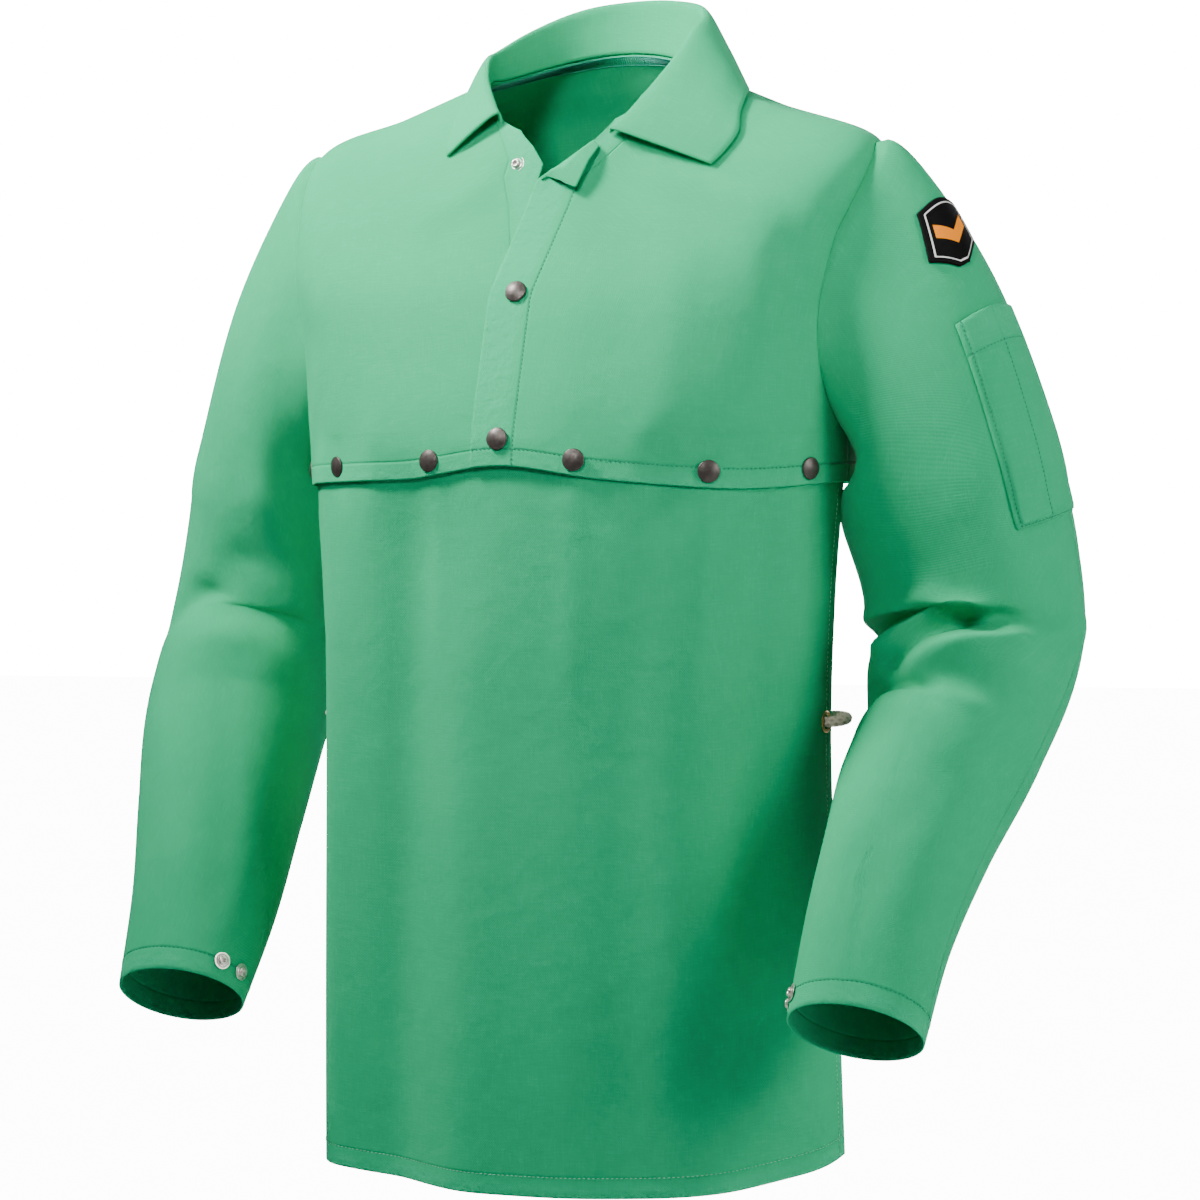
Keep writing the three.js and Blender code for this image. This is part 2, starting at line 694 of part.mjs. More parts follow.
// Snaps on the placket and round the hem
const placketSnaps = [
  // name, distance across from the centre front, level
  ['placket_snap_top', 23, 9.27],
  ['placket_snap_middle', 0, 7.05],
  ['placket_snap_bottom', 0, 4.45],
];
for (const [name, x, level] of placketSnaps) {
  const angle = angleAt(x, level);
  const seat = hemmed(angle, level, leftLift(angle, level) + seatGap);
  add(name, place(snapCap(), seat, bodyNormal(angle, level)), pewter, 0.45, 0.9);
}

const hemSnapAngles = [-71.5, -42.5, -14.5, 14.5, 42.5, 71.5];
const hemSnapLevel = capeHemLevel + 0.19;
hemSnapAngles.forEach((angle, k) => {
  const lift = leftLift(angle, hemSnapLevel) * (angle > 0 ? 1 : 0);
  const seat = hemmed(angle, hemSnapLevel, lift + seatGap);
  add(`hem_snap_${k + 1}`, place(snapCap(), seat, bodyNormal(angle, hemSnapLevel)), pewter, 0.45, 0.9);
});

// The bare stud on the right front's edge
const neckStudLevel = 9.46;
const neckStudAngle = angleAt(-18, neckStudLevel);
add('neck_stud', place(snapStud(), body(neckStudAngle, neckStudLevel, seatGap),
  bodyNormal(neckStudAngle, neckStudLevel)),
  steel, 0.35, 1);

// Cuff snaps: two studs side by side near the front, and a cap on the far side of the opening
const cuffStudShare = 0.975;
const cuffStudTurns = [148, 172];
const cuffCapTurn = 262;
for (const [side, word] of [[1, 'left'], [-1, 'right']]) {
  cuffStudTurns.forEach((turn, k) => {
    const normal = sleeveNormal(side, turn, cuffStudShare);
    const seat = sleevePoint(side, turn, cuffStudShare).addScaledVector(normal, seatGap);
    add(`cuff_stud_${word}_${k + 1}`, place(snapStud(), seat, normal), steel, 0.35, 1);
  });
  const normal = sleeveNormal(side, cuffCapTurn, cuffStudShare);
  const seat = sleevePoint(side, cuffCapTurn, cuffStudShare).addScaledVector(normal, seatGap);
  add(`cuff_cap_${word}`, place(snapCap(), seat, normal), pewter, 0.45, 0.9);
}

for (const [side, word] of [[1, 'left'], [-1, 'right']]) {
  const angle = side * eyeletAngle;
  add(`bib_eyelet_${word}`, place(eyelet(), bibPoint(angle, eyeletLevel),
    bibNormal(angle, eyeletLevel)), brass, 0.35, 1);
}

// The waist tie: knotted inside the bib at one eyelet, out through it and round the bib's edge, then
// round the wearer's back with a little slack, and in through the other eyelet to its own knot.
const tieRoute = [
  [182.9, -10.0, -432.6],
  [188.1, -10.5, -432.6],
  [193.5, -8.2, -432.0],
  [195.8, -2.4, -431.0],
  [194.0, 4.2, -430.0],
  [188.4, 9.4, -429.4],
  [180.4, 14.6, -429.6],
  [171.0, 25.0, -432.0],
  [161.0, 41.0, -438.0],
  [146.0, 61.0, -447.0],
  [124.0, 81.0, -458.0],
  [94.0, 97.0, -469.0],
  [60.0, 107.0, -477.0],
  [21.0, 112.0, -481.0],
];
const tiePoints = [...tieRoute, ...tieRoute.map(([x, y, z]) => [-x, y, z]).reverse()]
  .map((p) => new THREE.Vector3(...p));

function tie() {
  const r = tieDiameter / 2;
  const section = new THREE.Shape(steps(0, 1, tieSides).slice(0, -1)
    .map((f) => new THREE.Vector2(r * Math.cos(2 * Math.PI * f), r * Math.sin(2 * Math.PI * f))));
  const path = new THREE.CatmullRomCurve3(tiePoints, false, 'centripetal');
  return new THREE.ExtrudeGeometry(section, { steps: tieSteps, bevelEnabled: false, extrudePath: path });
}

function knot() {
  const r = tieKnotDiameter / 2;
  const bulge = steps(-60, 60, 4).map((a) => [r * Math.cos(toRad(a)), r * Math.sin(toRad(a))]);
  return revolve([[0, -r], ...bulge, [0, r]]);
}

add('waist_tie', tie(), natural, 0.9);
for (const [side, word] of [[1, 'left'], [-1, 'right']]) {
  const [x, y, z] = tieRoute[0];
  const normal = bibNormal(side * eyeletAngle, eyeletLevel);
  const seat = new THREE.Vector3(side * x, y, z).addScaledVector(normal, -tieKnotDiameter / 2 - cordGap);
  add(`tie_knot_${word}`, place(knot(), seat, normal), natural, 0.9);
}

export default group;
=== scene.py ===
"""A welder's cape with sleeves and a snap-on bib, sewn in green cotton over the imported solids.

Surface sizes are in millimetres, as in the cutting tables, and every mesh is made in metres."""
import math

import bpy
import numpy as np
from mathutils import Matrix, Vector


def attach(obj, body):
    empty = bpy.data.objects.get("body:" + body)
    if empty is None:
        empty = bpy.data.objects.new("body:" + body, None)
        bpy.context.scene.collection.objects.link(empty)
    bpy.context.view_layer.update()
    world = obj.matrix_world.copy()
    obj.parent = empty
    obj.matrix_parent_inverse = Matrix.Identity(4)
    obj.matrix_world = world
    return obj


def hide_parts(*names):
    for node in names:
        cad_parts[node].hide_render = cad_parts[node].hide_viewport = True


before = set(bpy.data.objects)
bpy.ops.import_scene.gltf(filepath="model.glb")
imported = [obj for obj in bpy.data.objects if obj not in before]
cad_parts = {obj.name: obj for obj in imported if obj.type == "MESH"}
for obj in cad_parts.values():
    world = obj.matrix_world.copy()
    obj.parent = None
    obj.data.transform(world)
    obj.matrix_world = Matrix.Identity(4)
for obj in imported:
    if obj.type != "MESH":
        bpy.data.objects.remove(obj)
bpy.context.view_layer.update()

MM = 0.001
SIDES = ((1, "left"), (-1, "right"))

# Cloth and clear spaces, in millimetres
CLOTH = 1.2
COLLAR_CLOTH = 2.0
LAYER_GAP = 1.3
SEAM_GAP = 0.4
SEAT_GAP = 0.45
CORD_GAP = 0.3

# Cape and bib
CAPE_DROP = 270
BIB_DROP = 742
BIB_CORNER_RISE = 19
BIB_HALF_ANGLE = 90
CHEST_HALF_WIDTH = 196
CHEST_HALF_DEPTH = 135
HEM_LIFT = 8
HEM_SAG = 8

# Shoulders and neck
SHOULDER_HALF_WIDTH = 208
SHOULDER_SWAY = 9
SHOULDER_DROP = 38
SHOULDER_LEAN = 6
SHOULDER_DEPTH = 88
NECK_HALF_WIDTH = 74
NECK_SWAY = 7
NECK_HALF_DEPTH = 62
NECK_SIDE_RISE = 12
NECK_BACK_RISE = 38
NECK_FRONT_DROP = 36
ARMHOLE_SWEEP = 19

# Front opening
OVERLAP = 20
UNDERLAP = 14
LAPEL_WIDTH = 19
LAPEL_SHOWN = 1.3
LAPEL_LIFT = 5.0

# Sleeves
SLEEVE_DROP = 484
ARMHOLE_CENTRE_DROP = 140
ARMHOLE_CENTRE_OUT = 205
UPPER_ARM_HALF = 80
CAP_FULLNESS = 16
CUFF_HALF_WIDTH = 45
CUFF_HALF_DEPTH = 40
POCKET_WIDTH = 65
POCKET_LENGTH = 120
PATCH_WIDTH = 42
PATCH_HEIGHT = 43

# Metal parts and cord
CAP_DIAMETER = 15
CAP_HEIGHT = 3.2
CAP_ROLL = 0.9
STUD_DIAMETER = 12
STUD_HEIGHT = 3
EYELET_OUTER = 15
EYELET_HOLE = 9.8
EYELET_WALL = 0.9
EYELET_INSET = 11
TIE_DIAMETER = 7.5
TIE_KNOT_DIAMETER = 16

# Sewing
HEM_WIDTH = 10
CUFF_HEM = 15
BIB_HEM = 13
BIB_SIDE_HEM = 9
PLACKET = 31
FACING = 26
STITCH_PITCH = 3.1
STITCH_LENGTH = 1.9
THREAD = 0.62
OVERLOCK_THREAD = 0.8


def toward(low, high, f):
    return low + (high - low) * f


def smooth(low, high, x):
    f = np.clip((np.asarray(x, float) - low) / (high - low), 0, 1)
    return f * f * (3 - 2 * f)


def power(x, p):
    return np.sign(x) * np.abs(x) ** p


def same_shape(*values):
    return np.broadcast_arrays(*(np.asarray(value, float) for value in values))


def row_at(rows, place):
    """The row at a fractional place in a table, on a smooth curve through its rows."""
    rows = np.asarray(rows, float)
    padded = np.vstack([2 * rows[0] - rows[1], rows, 2 * rows[-1] - rows[-2]])
    place = np.asarray(place, float)
    i = np.clip(np.floor(place).astype(int), 0, len(rows) - 2)
    f = (place - i)[..., None]
    a, b, c, d = (padded[i + k] for k in range(4))
    return b + 0.5 * f * (c - a + f * (2 * a - 5 * b + 4 * c - d + f * (3 * (b - c) + d - a)))


def column_for(rows, value):
    """A table's second column where its first holds the given value, on straight lines."""
    rows = np.asarray(rows, float)
    return np.interp(value, rows[:, 0], rows[:, 1])


def unit(v):
    return v / np.maximum(np.linalg.norm(v, axis=-1, keepdims=True), 1e-12)


def curve_at(points, place):
    """The point at a fractional place on a centripetal curve through points, given as (..., n, 3)."""
    points = np.asarray(points, float)
    before = 2 * points[..., :1, :] - points[..., 1:2, :]
    beyond = 2 * points[..., -1:, :] - points[..., -2:-1, :]
    padded = np.concatenate([before, points, beyond], axis=-2)
    i = int(min(max(math.floor(place), 0), points.shape[-2] - 2))
    f = place - i
    p = [padded[..., i + k, :] for k in range(4)]
    dt = [np.linalg.norm(p[k + 1] - p[k], axis=-1, keepdims=True) ** 0.5 for k in range(3)]
    dt[1] = np.where(dt[1] < 1e-4, 1.0, dt[1])
    dt[0] = np.where(dt[0] < 1e-4, dt[1], dt[0])
    dt[2] = np.where(dt[2] < 1e-4, dt[1], dt[2])
    start = ((p[1] - p[0]) / dt[0] - (p[2] - p[0]) / (dt[0] + dt[1]) + (p[2] - p[1]) / dt[1]) * dt[1]
    end = ((p[2] - p[1]) / dt[1] - (p[3] - p[1]) / (dt[1] + dt[2]) + (p[3] - p[2]) / dt[2]) * dt[1]
    c2 = -3 * p[1] + 3 * p[2] - 2 * start - end
    c3 = 2 * p[1] - 2 * p[2] + start + end
    return p[1] + f * (start + f * (c2 + f * c3))


def even_curve(points, count):
    """Points spaced evenly along a centripetal curve, and its length."""
    places = np.linspace(0, len(points) - 1, 60 * (len(points) - 1) + 1)
    fine = np.array([curve_at(points, t) for t in places])
    run = np.concatenate([[0], np.cumsum(np.linalg.norm(np.diff(fine, axis=0), axis=1))])
    at = np.linspace(0, run[-1], count)
    return np.stack([np.interp(at, run, fine[:, k]) for k in range(3)], axis=1), run[-1]


# The body that the cloth hangs on, from the bib's hem up to the neck seam
CHEST = [
    # drop, side, front, back, half width, front depth, back depth, sway, squareness
    [BIB_DROP, -1.0, -1.0, -1.0, 0.975, 1.03, 0.93, 0.03, 2.1],
    [BIB_DROP, -0.81, -0.81, -0.81, 0.965, 1.01, 0.92, 0.015, 2.1],
    [BIB_DROP, -0.61, -0.61, -0.61, 0.955, 0.99, 0.91, 0.0, 2.1],
    [BIB_DROP, -0.47, -0.47, -0.47, 0.97, 0.99, 0.91, 0.0, 2.1],
    [CAPE_DROP, -1.0, -1.0, -1.0, 1.0, 0.99, 0.92, 0.0, 2.1],
    [CAPE_DROP, -0.84, -0.86, -0.83, 1.005, 0.95, 0.93, 0.0, 2.3],
    [CAPE_DROP, -0.62, -0.7, -0.56, 1.02, 0.86, 0.91, 0.0, 2.6],
    [CAPE_DROP, -0.38, -0.55, -0.3, 1.06, 0.77, 0.84, 0.0, 2.7],
]
BODY = [
    [drop * side, drop * front, drop * back, CHEST_HALF_WIDTH * width, CHEST_HALF_DEPTH * ahead,
     CHEST_HALF_DEPTH * behind, CHEST_HALF_WIDTH * sway, square]
    for drop, side, front, back, width, ahead, behind, sway, square in CHEST
] + [
    [-SHOULDER_DROP, -2.95 * SHOULDER_DROP, -0.4 * SHOULDER_DROP, SHOULDER_HALF_WIDTH, SHOULDER_DEPTH,
     1.1 * SHOULDER_DEPTH, SHOULDER_SWAY, 2.3],
    [toward(-SHOULDER_DROP, NECK_SIDE_RISE, 0.5), -2.1 * NECK_FRONT_DROP, 0.4 * NECK_BACK_RISE,
     toward(SHOULDER_HALF_WIDTH, NECK_HALF_WIDTH, 0.5), 1.18 * NECK_HALF_DEPTH, 1.3 * NECK_HALF_DEPTH,
     toward(SHOULDER_SWAY, NECK_SWAY, 0.5), 2.1],
    [NECK_SIDE_RISE, -NECK_FRONT_DROP, NECK_BACK_RISE, NECK_HALF_WIDTH, NECK_HALF_DEPTH,
     1.08 * NECK_HALF_DEPTH, NECK_SWAY, 2.0],
]
CAPE_HEM = 4
UNDERARM = 4.75
SHOULDER = 8
NECK = 10
V_LEVEL = 9.2
BIB_TUCK = 4.8

BODY_FOLDS = [
    # angle, level, angle, level, angle width, level width, height in cloths
    [-52, 0.0, -40, 3.4, 10, 0.8, 4.0],
    [-22, 0.0, -16, 3.4, 11, 0.8, -4.0],
    [40, 0.0, 33, 3.2, 12, 0.8, 3.5],
    [64, 0.0, 58, 3.4, 9, 0.8, -4.0],
    [150, 4.2, 165, 7.0, 12, 0.8, 4.0],
    [-150, 4.2, -165, 7.0, 12, 0.8, 4.0],
    # Bib: a broad ridge, a broad valley and a few faint pulls from the hem snaps
    [-48, 0.0, -50, 3.9, 7.0, 0.7, 5.4],
    [-29, 0.0, -22, 3.2, 8.0, 0.7, -5.4],
    [-14.5, 3.0, -14.5, 3.95, 3.5, 0.4, 1.6],
    [-8, 0.0, -6, 2.4, 7.0, 0.6, 2.8],
    [14.5, 2.6, 14.5, 3.95, 3.5, 0.4, 1.6],
    [24, 0.6, 32, 3.9, 7.0, 0.6, -2.8],
    [42.5, 2.8, 42.5, 3.95, 3.5, 0.4, 1.8],
    [55, 0.2, 58, 3.8, 6.0, 0.6, -1.8],
    [-71.5, 3.0, -71.5, 3.95, 3.5, 0.4, 1.2],
    # Hem of the cape: short rucks at each snap
    [-71.5, 4.0, -71.5, 4.5, 3.0, 0.25, -1.2],
    [-62, 4.0, -60, 4.6, 3.0, 0.3, 1.0],
    [-42.5, 4.0, -42.5, 4.5, 3.0, 0.25, -1.2],
    [-31, 4.0, -29, 4.7, 3.5, 0.35, 1.2],
    [28, 4.0, 27, 4.7, 3.5, 0.35, 1.2],
    [42.5, 4.0, 42.5, 4.5, 3.0, 0.25, -1.2],
    [57, 4.0, 56, 4.7, 3.5, 0.35, 1.3],
    [71.5, 4.0, 71.5, 4.5, 3.0, 0.25, -1.2],
    # Chest: slanting pulls from the neck and the armholes
    [-20, 8.9, -48, 6.6, 6.0, 0.5, 1.6],
    [-30, 8.0, -62, 5.6, 6.0, 0.5, -1.4],
    [34, 8.7, 52, 6.2, 6.0, 0.5, 1.8],
    [46, 8.3, 66, 5.6, 5.0, 0.5, -1.8],
    [22, 8.2, 30, 5.2, 5.0, 0.5, 1.2],
]


CREASE_SHARPNESS = 2.2


def fold_height(folds, a, b):
    """How far a point of a surface is pushed out by the strokes of a fold table."""
    height = np.zeros(np.broadcast(a, b).shape)
    for a1, b1, a2, b2, a_width, b_width, cloths, *crispness in folds:
        crisp = sum(crispness)
        da, db = (a2 - a1) / a_width, (b2 - b1) / b_width
        pa, pb = (a - a1) / a_width, (b - b1) / b_width
        along = np.clip((pa * da + pb * db) / (da * da + db * db), 0, 1)
        away = (pa - along * da) ** 2 + (pb - along * db) ** 2
        soft = np.exp(-away)
        sharp = np.exp(-CREASE_SHARPNESS * np.sqrt(away + 0.01)) if crisp else 0.0
        height = height + cloths * CLOTH * ((1 - crisp) * soft + crisp * sharp)
    return height


def hem_offset(angle, level):
    near = 1 - smooth(0, 1.2, np.abs(level - CAPE_HEM))
    return near * (HEM_LIFT * np.exp(-((angle / 13) ** 2)) - HEM_SAG * np.exp(-(((angle - 50) / 28) ** 2)))


def body_base(angle, level):
    angle, level = same_shape(angle, level)
    side, front, back, width, ahead, behind, sway, square = np.moveaxis(row_at(BODY, level), -1, 0)
    s, c = np.sin(np.radians(angle)), np.cos(np.radians(angle))
    x = sway + width * power(s, 2 / square)
    y = -np.where(c > 0, ahead, behind) * power(c, 2 / square)
    tilt = np.abs(c) ** 1.5
    lean = SHOULDER_LEAN * (x / SHOULDER_HALF_WIDTH) * smooth(CAPE_HEM, SHOULDER, level)
    return np.stack([x, y, side + (np.where(c > 0, front, back) - side) * tilt - lean], axis=-1)


def body_normal(angle, level):
    along_angle = body_base(angle + 0.5, level) - body_base(angle - 0.5, level)
    upper = np.minimum(level + 0.02, NECK)
    along_level = body_base(angle, upper) - body_base(angle, upper - 0.04)
    return unit(np.cross(along_angle, along_level))


def body(angle, level, out=0.0):
    angle, level = same_shape(angle, level)
    turned = (angle + 540) % 360 - 180
    height = fold_height(BODY_FOLDS, turned, level) + out
    return body_base(angle, level) + body_normal(angle, level) * height[..., None]


def angle_at(x, level):
    row = row_at(BODY, level)
    return np.degrees(np.arcsin(power((x - row[..., 6]) / row[..., 3], row[..., 7] / 2)))


def degrees_for(distance, angle, level):
    gap = body_base(angle + 0.5, level) - body_base(angle - 0.5, level)
    return distance / np.linalg.norm(gap, axis=-1)


def armhole_at(level):
    """Degrees that the armhole cuts back from the side at a level."""
    share = np.clip((level - UNDERARM) / (SHOULDER - UNDERARM), 0, 1)
    return ARMHOLE_SWEEP * np.abs(np.sin(math.pi * share)) ** 0.6 * ((share > 0) & (share < 1))


def seam_inset(level):
    return np.where(armhole_at(level) > 0, 0, degrees_for(SEAM_GAP / 2, 90, level))


def hemmed(angle, level, out=0.0):
    point = body(angle, level, out)
    point[..., 2] += hem_offset(angle, level)
    return point


# Meshes of cloth; a point that no sewn line is near is marked as far from it
FAR = 40.0
EDGE_ROUNDING = 0.4


def grid_normals(grid, around):
    if around:
        across = np.roll(grid, -1, axis=1) - np.roll(grid, 1, axis=1)
    else:
        across = np.gradient(grid, axis=1)
    return unit(np.cross(across, np.gradient(grid, axis=0)))


def run_lengths(grid, axis, middle=0):
    step = np.linalg.norm(np.diff(grid, axis=axis), axis=-1)
    run = np.cumsum(step, axis=axis)
    run = np.concatenate([np.zeros_like(np.take(run, [0], axis=axis)), run], axis=axis)
    return run - np.take(run, [middle], axis=axis)


def mesh_piece(name, points, faces, material, attributes=None, uv=None):
    """A closed mesh in metres with its faces turned outwards; its place is in its points."""
    mesh = bpy.data.meshes.new(name)
    points = np.asarray(points, float) * MM
    mesh.from_pydata(points.tolist(), [], [tuple(int(k) for k in face) for face in faces])
    mesh.polygons.foreach_set("use_smooth", [True] * len(mesh.polygons))
    if uv is not None:
        layer = mesh.uv_layers.new(name="cloth")
        loops = np.zeros(len(mesh.loops), int)
        mesh.loops.foreach_get("vertex_index", loops)
        layer.data.foreach_set("uv", (uv[loops] * MM).astype(np.float32).ravel())
    for key, values in (attributes or {}).items():
        attribute = mesh.attributes.new(key, "FLOAT_VECTOR", "POINT")
        attribute.data.foreach_set("vector", np.asarray(values, np.float32).ravel())
    mesh.materials.append(material)
    piece = bpy.data.objects.new(name, mesh)
    bpy.context.scene.collection.objects.link(piece)
    turn_outwards(piece)
    return piece


def cloth_piece(name, grid, wall, material, lines, around=False, edge_normals=None):
    """A closed wall of cloth on a grid of points, with rounded edges.

    lines holds, for each point, its distance in millimetres past up to three sewn lines."""
    low, high = wall
    rows, columns = grid.shape[:2]
    normals = grid_normals(grid, around)
    if edge_normals is not None:
        normals[0] = edge_normals
    uv = np.stack([run_lengths(grid, 1, columns // 2), run_lengths(grid, 0)], axis=-1).reshape(-1, 2)
    points = [(grid + normals * height).reshape(-1, 3) for height in (high, low)]
    uvs, marks = [uv, uv], [lines.reshape(-1, 3)] * 2
    index = np.arange(rows * columns).reshape(rows, columns)
    ring = np.hstack([index, index[:, :1]]) if around else index
    quads = np.stack([ring[:-1, :-1], ring[:-1, 1:], ring[1:, 1:], ring[1:, :-1]], -1).reshape(-1, 4)
    faces = [*quads.tolist(), *(quads[:, ::-1] + index.size).tolist()]
    down, right = unit(np.gradient(grid, axis=0)), unit(np.gradient(grid, axis=1))
    push = np.zeros_like(grid)
    push[0] -= down[0]
    push[-1] += down[-1]
    rims = [index[0], index[-1]]
    if not around:
        push[:, 0] -= right[:, 0]
        push[:, -1] += right[:, -1]
        rims = [np.concatenate([index[0], index[1:, -1], index[-1, -2::-1], index[-2:0:-1, 0]])]
    push = unit(push).reshape(-1, 3) * EDGE_ROUNDING * (high - low)
    total = 2 * index.size
    for rim in rims:
        points.append((points[0][rim] + points[1][rim]) / 2 + push[rim])
        uvs.append(uv[rim])
        marks.append(marks[0][rim])
        middle = np.arange(total, total + len(rim))
        for first, second in ((rim, middle), (middle, rim + index.size)):
            faces += np.stack([first, np.roll(first, -1), np.roll(second, -1), second], -1).tolist()
        total += len(rim)
    points, uvs, marks = np.vstack(points), np.vstack(uvs), np.vstack(marks)
    return mesh_piece(name, points, faces, material, {"sewn": marks * MM}, uvs)


def turn_outwards(piece):
    bpy.context.view_layer.objects.active = piece
    piece.select_set(True)
    bpy.ops.object.mode_set(mode="EDIT")
    bpy.ops.mesh.select_all(action="SELECT")
    bpy.ops.mesh.normals_make_consistent(inside=False)
    bpy.ops.object.mode_set(mode="OBJECT")
    piece.select_set(False)


def wear_on(piece, node):
    """Hangs a piece on the root and hides the CAD node that it takes the place of."""
    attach(piece, "root")
    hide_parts(node)
    return piece


def cotton_piece(name, node, flat, grid, wall=(-CLOTH, 0), around=False, edge_normals=None, **past):
    """A cut of cotton in its CAD node's place; past holds its points' distances past its sewn lines."""
    lines = np.full(grid.shape, FAR)
    for k, distance in enumerate(past.values()):
        lines[..., k] = distance
    piece = cloth_piece(name, grid, wall, COTTON, lines, around, edge_normals)
    wear_on(piece, node)


# Node trees: sums of sockets are written as sums, and a node joined to a socket gives its first output
class Value:
    """A node's output; sums and products of values become math nodes in its tree."""

    def __init__(self, node, output=0):
        self.socket, self.tree = node.outputs[output], node.id_data

    def calc(self, operation, *others, clamp=False):
        terms = enumerate((self, *others))
        return Value(add(self.tree, "ShaderNodeMath", terms, operation=operation, use_clamp=clamp))

    def __add__(self, other):
        return self.calc("ADD", other)

    def __sub__(self, other):
        return self.calc("SUBTRACT", other)

    def __mul__(self, other):
        return self.calc("MULTIPLY", other)

    def __truediv__(self, other):
        return self.calc("DIVIDE", other)


def fill(node, inputs):
    """Joins or sets a node's inputs, by name or place."""
    for key, value in dict(inputs).items():
        if isinstance(value, bpy.types.Node):
            value = Value(value)
        if isinstance(value, Value):
            node.id_data.links.new(value.socket, node.inputs[key])
        else:
            node.inputs[key].default_value = value


def add(tree, kind, inputs=(), **settings):
    node = tree.nodes.new(kind)
    for key, value in settings.items():
        setattr(node, key, value)
    fill(node, inputs)
    return node


def source(tree, kind, output, **settings):
    return Value(add(tree, kind, **settings), output)


def object_place(tree):
    return source(tree, "ShaderNodeTexCoord", "Object")


def cloth_map(tree):
    return source(tree, "ShaderNodeUVMap", "UV", uv_map="cloth")


def marks_of(tree, name):
    """What cloth_piece or braided laid down on the points under a name."""
    return source(tree, "ShaderNodeAttribute", "Vector", attribute_name=name)


def parts_of(vector):
    node = add(vector.tree, "ShaderNodeSeparateXYZ", {0: vector})
    return [Value(node, k) for k in range(3)]


def group(name, kind, inputs, outputs):
    """A node group with its inputs' values by name, and its output node."""
    tree = bpy.data.node_groups.new(name, kind)
    for label, (socket_type, value) in inputs.items():
        socket = tree.interface.new_socket(label, in_out="INPUT", socket_type="NodeSocket" + socket_type)
        if value is not None:
            socket.default_value = value
    for label, socket_type in outputs.items():
        tree.interface.new_socket(label, in_out="OUTPUT", socket_type="NodeSocket" + socket_type)
    start = tree.nodes.new("NodeGroupInput")
    return tree, {label: Value(start, label) for label in inputs}, tree.nodes.new("NodeGroupOutput")


def placed(tree, node_group, inputs):
    node = add(tree, "ShaderNodeGroup", node_tree=node_group)
    fill(node, inputs)
    return [Value(node, k) for k in range(len(node.outputs))]


def noise(vector, scale, detail=2.0, roughness=0.5, distortion=0.0):
    return Value(add(vector.tree, "ShaderNodeTexNoise", {
        "Vector": vector, "Scale": scale, "Detail": detail, "Roughness": roughness,
        "Distortion": distortion}))


def stretched(vector, scale, turn=0.0):
    return Value(add(vector.tree, "ShaderNodeMapping", {
        "Vector": vector, "Scale": scale, "Rotation": (0, 0, turn)}))


def mixed(factor, first, second):
    """Two colours mixed by a value; the sockets of a colour mix are the sixth and the seventh."""
    node = add(factor.tree, "ShaderNodeMix", data_type="RGBA")
    fill(node, {0: factor, 6: first, 7: second})
    return Value(node, 2)


TWILL_RIB = 0.0011
TWILL_SLANT = (0.8, 0.6)
GROOVE_WIDTH = 0.0009
EDGE_RISE = 120.0


def twill_group():
    """Fine diagonal ribs of a cotton twill, with uneven yarns; the vector is in metres on the cloth."""
    tree, start, end = group("twill_weave", "ShaderNodeTree",
                             {"Vector": ("Vector", None), "Rib": ("Float", TWILL_RIB)},
                             {"Height": "Float", "Yarn": "Float"})
    vector = start["Vector"]
    x, y, _ = parts_of(vector)
    slant = x * TWILL_SLANT[0] + y * TWILL_SLANT[1]
    waver = (noise(vector, 260.0) - 0.5) * 0.0006
    rib = ((slant + waver) / start["Rib"] * (2 * math.pi)).calc("SINE")
    warp, weft = (noise(stretched(vector, scale), 1.0, 2.0, 0.6) for scale in ((900, 60, 1), (60, 900, 1)))
    yarn = (warp + weft) * 0.5
    fuzz = noise(vector, 900.0, 2.0, 0.7)
    fill(end, {"Height": rib * 0.22 + (yarn + fuzz * 0.8), "Yarn": yarn})
    return tree


def seam_group():
    """Grooves along sewn lines: each part of the vector is a signed distance to one of them."""
    tree, start, end = group("sewn_lines", "ShaderNodeTree",
                             {"Distances": ("Vector", None), "Groove": ("Float", GROOVE_WIDTH)},
                             {"Groove": "Float", "Edge": "Float"})
    grooves, edges = [], []
    for distance in parts_of(start["Distances"]):
        near = distance / start["Groove"]
        grooves.append((near * near * -1.0).calc("EXPONENT"))
        edges.append(distance.calc("MULTIPLY", -EDGE_RISE, clamp=True))
    for label, (first, *others) in (("Groove", grooves), ("Edge", edges)):
        for other in others:
            first = first.calc("MAXIMUM", other)
        fill(end, {label: first})
    return tree


def new_material(name, roughness, metallic=0.0):
    material = bpy.data.materials.new(name)
    material.use_nodes = True
    shader = material.node_tree.nodes["Principled BSDF"]
    fill(shader, {"Roughness": roughness, "Metallic": metallic})
    return material, material.node_tree, shader


def bump(shader, height, strength, distance):
    fill(shader, {"Normal": add(height.tree, "ShaderNodeBump", {
        "Strength": strength, "Distance": distance, "Height": height})})


TWILL = twill_group()
SEWN = seam_group()


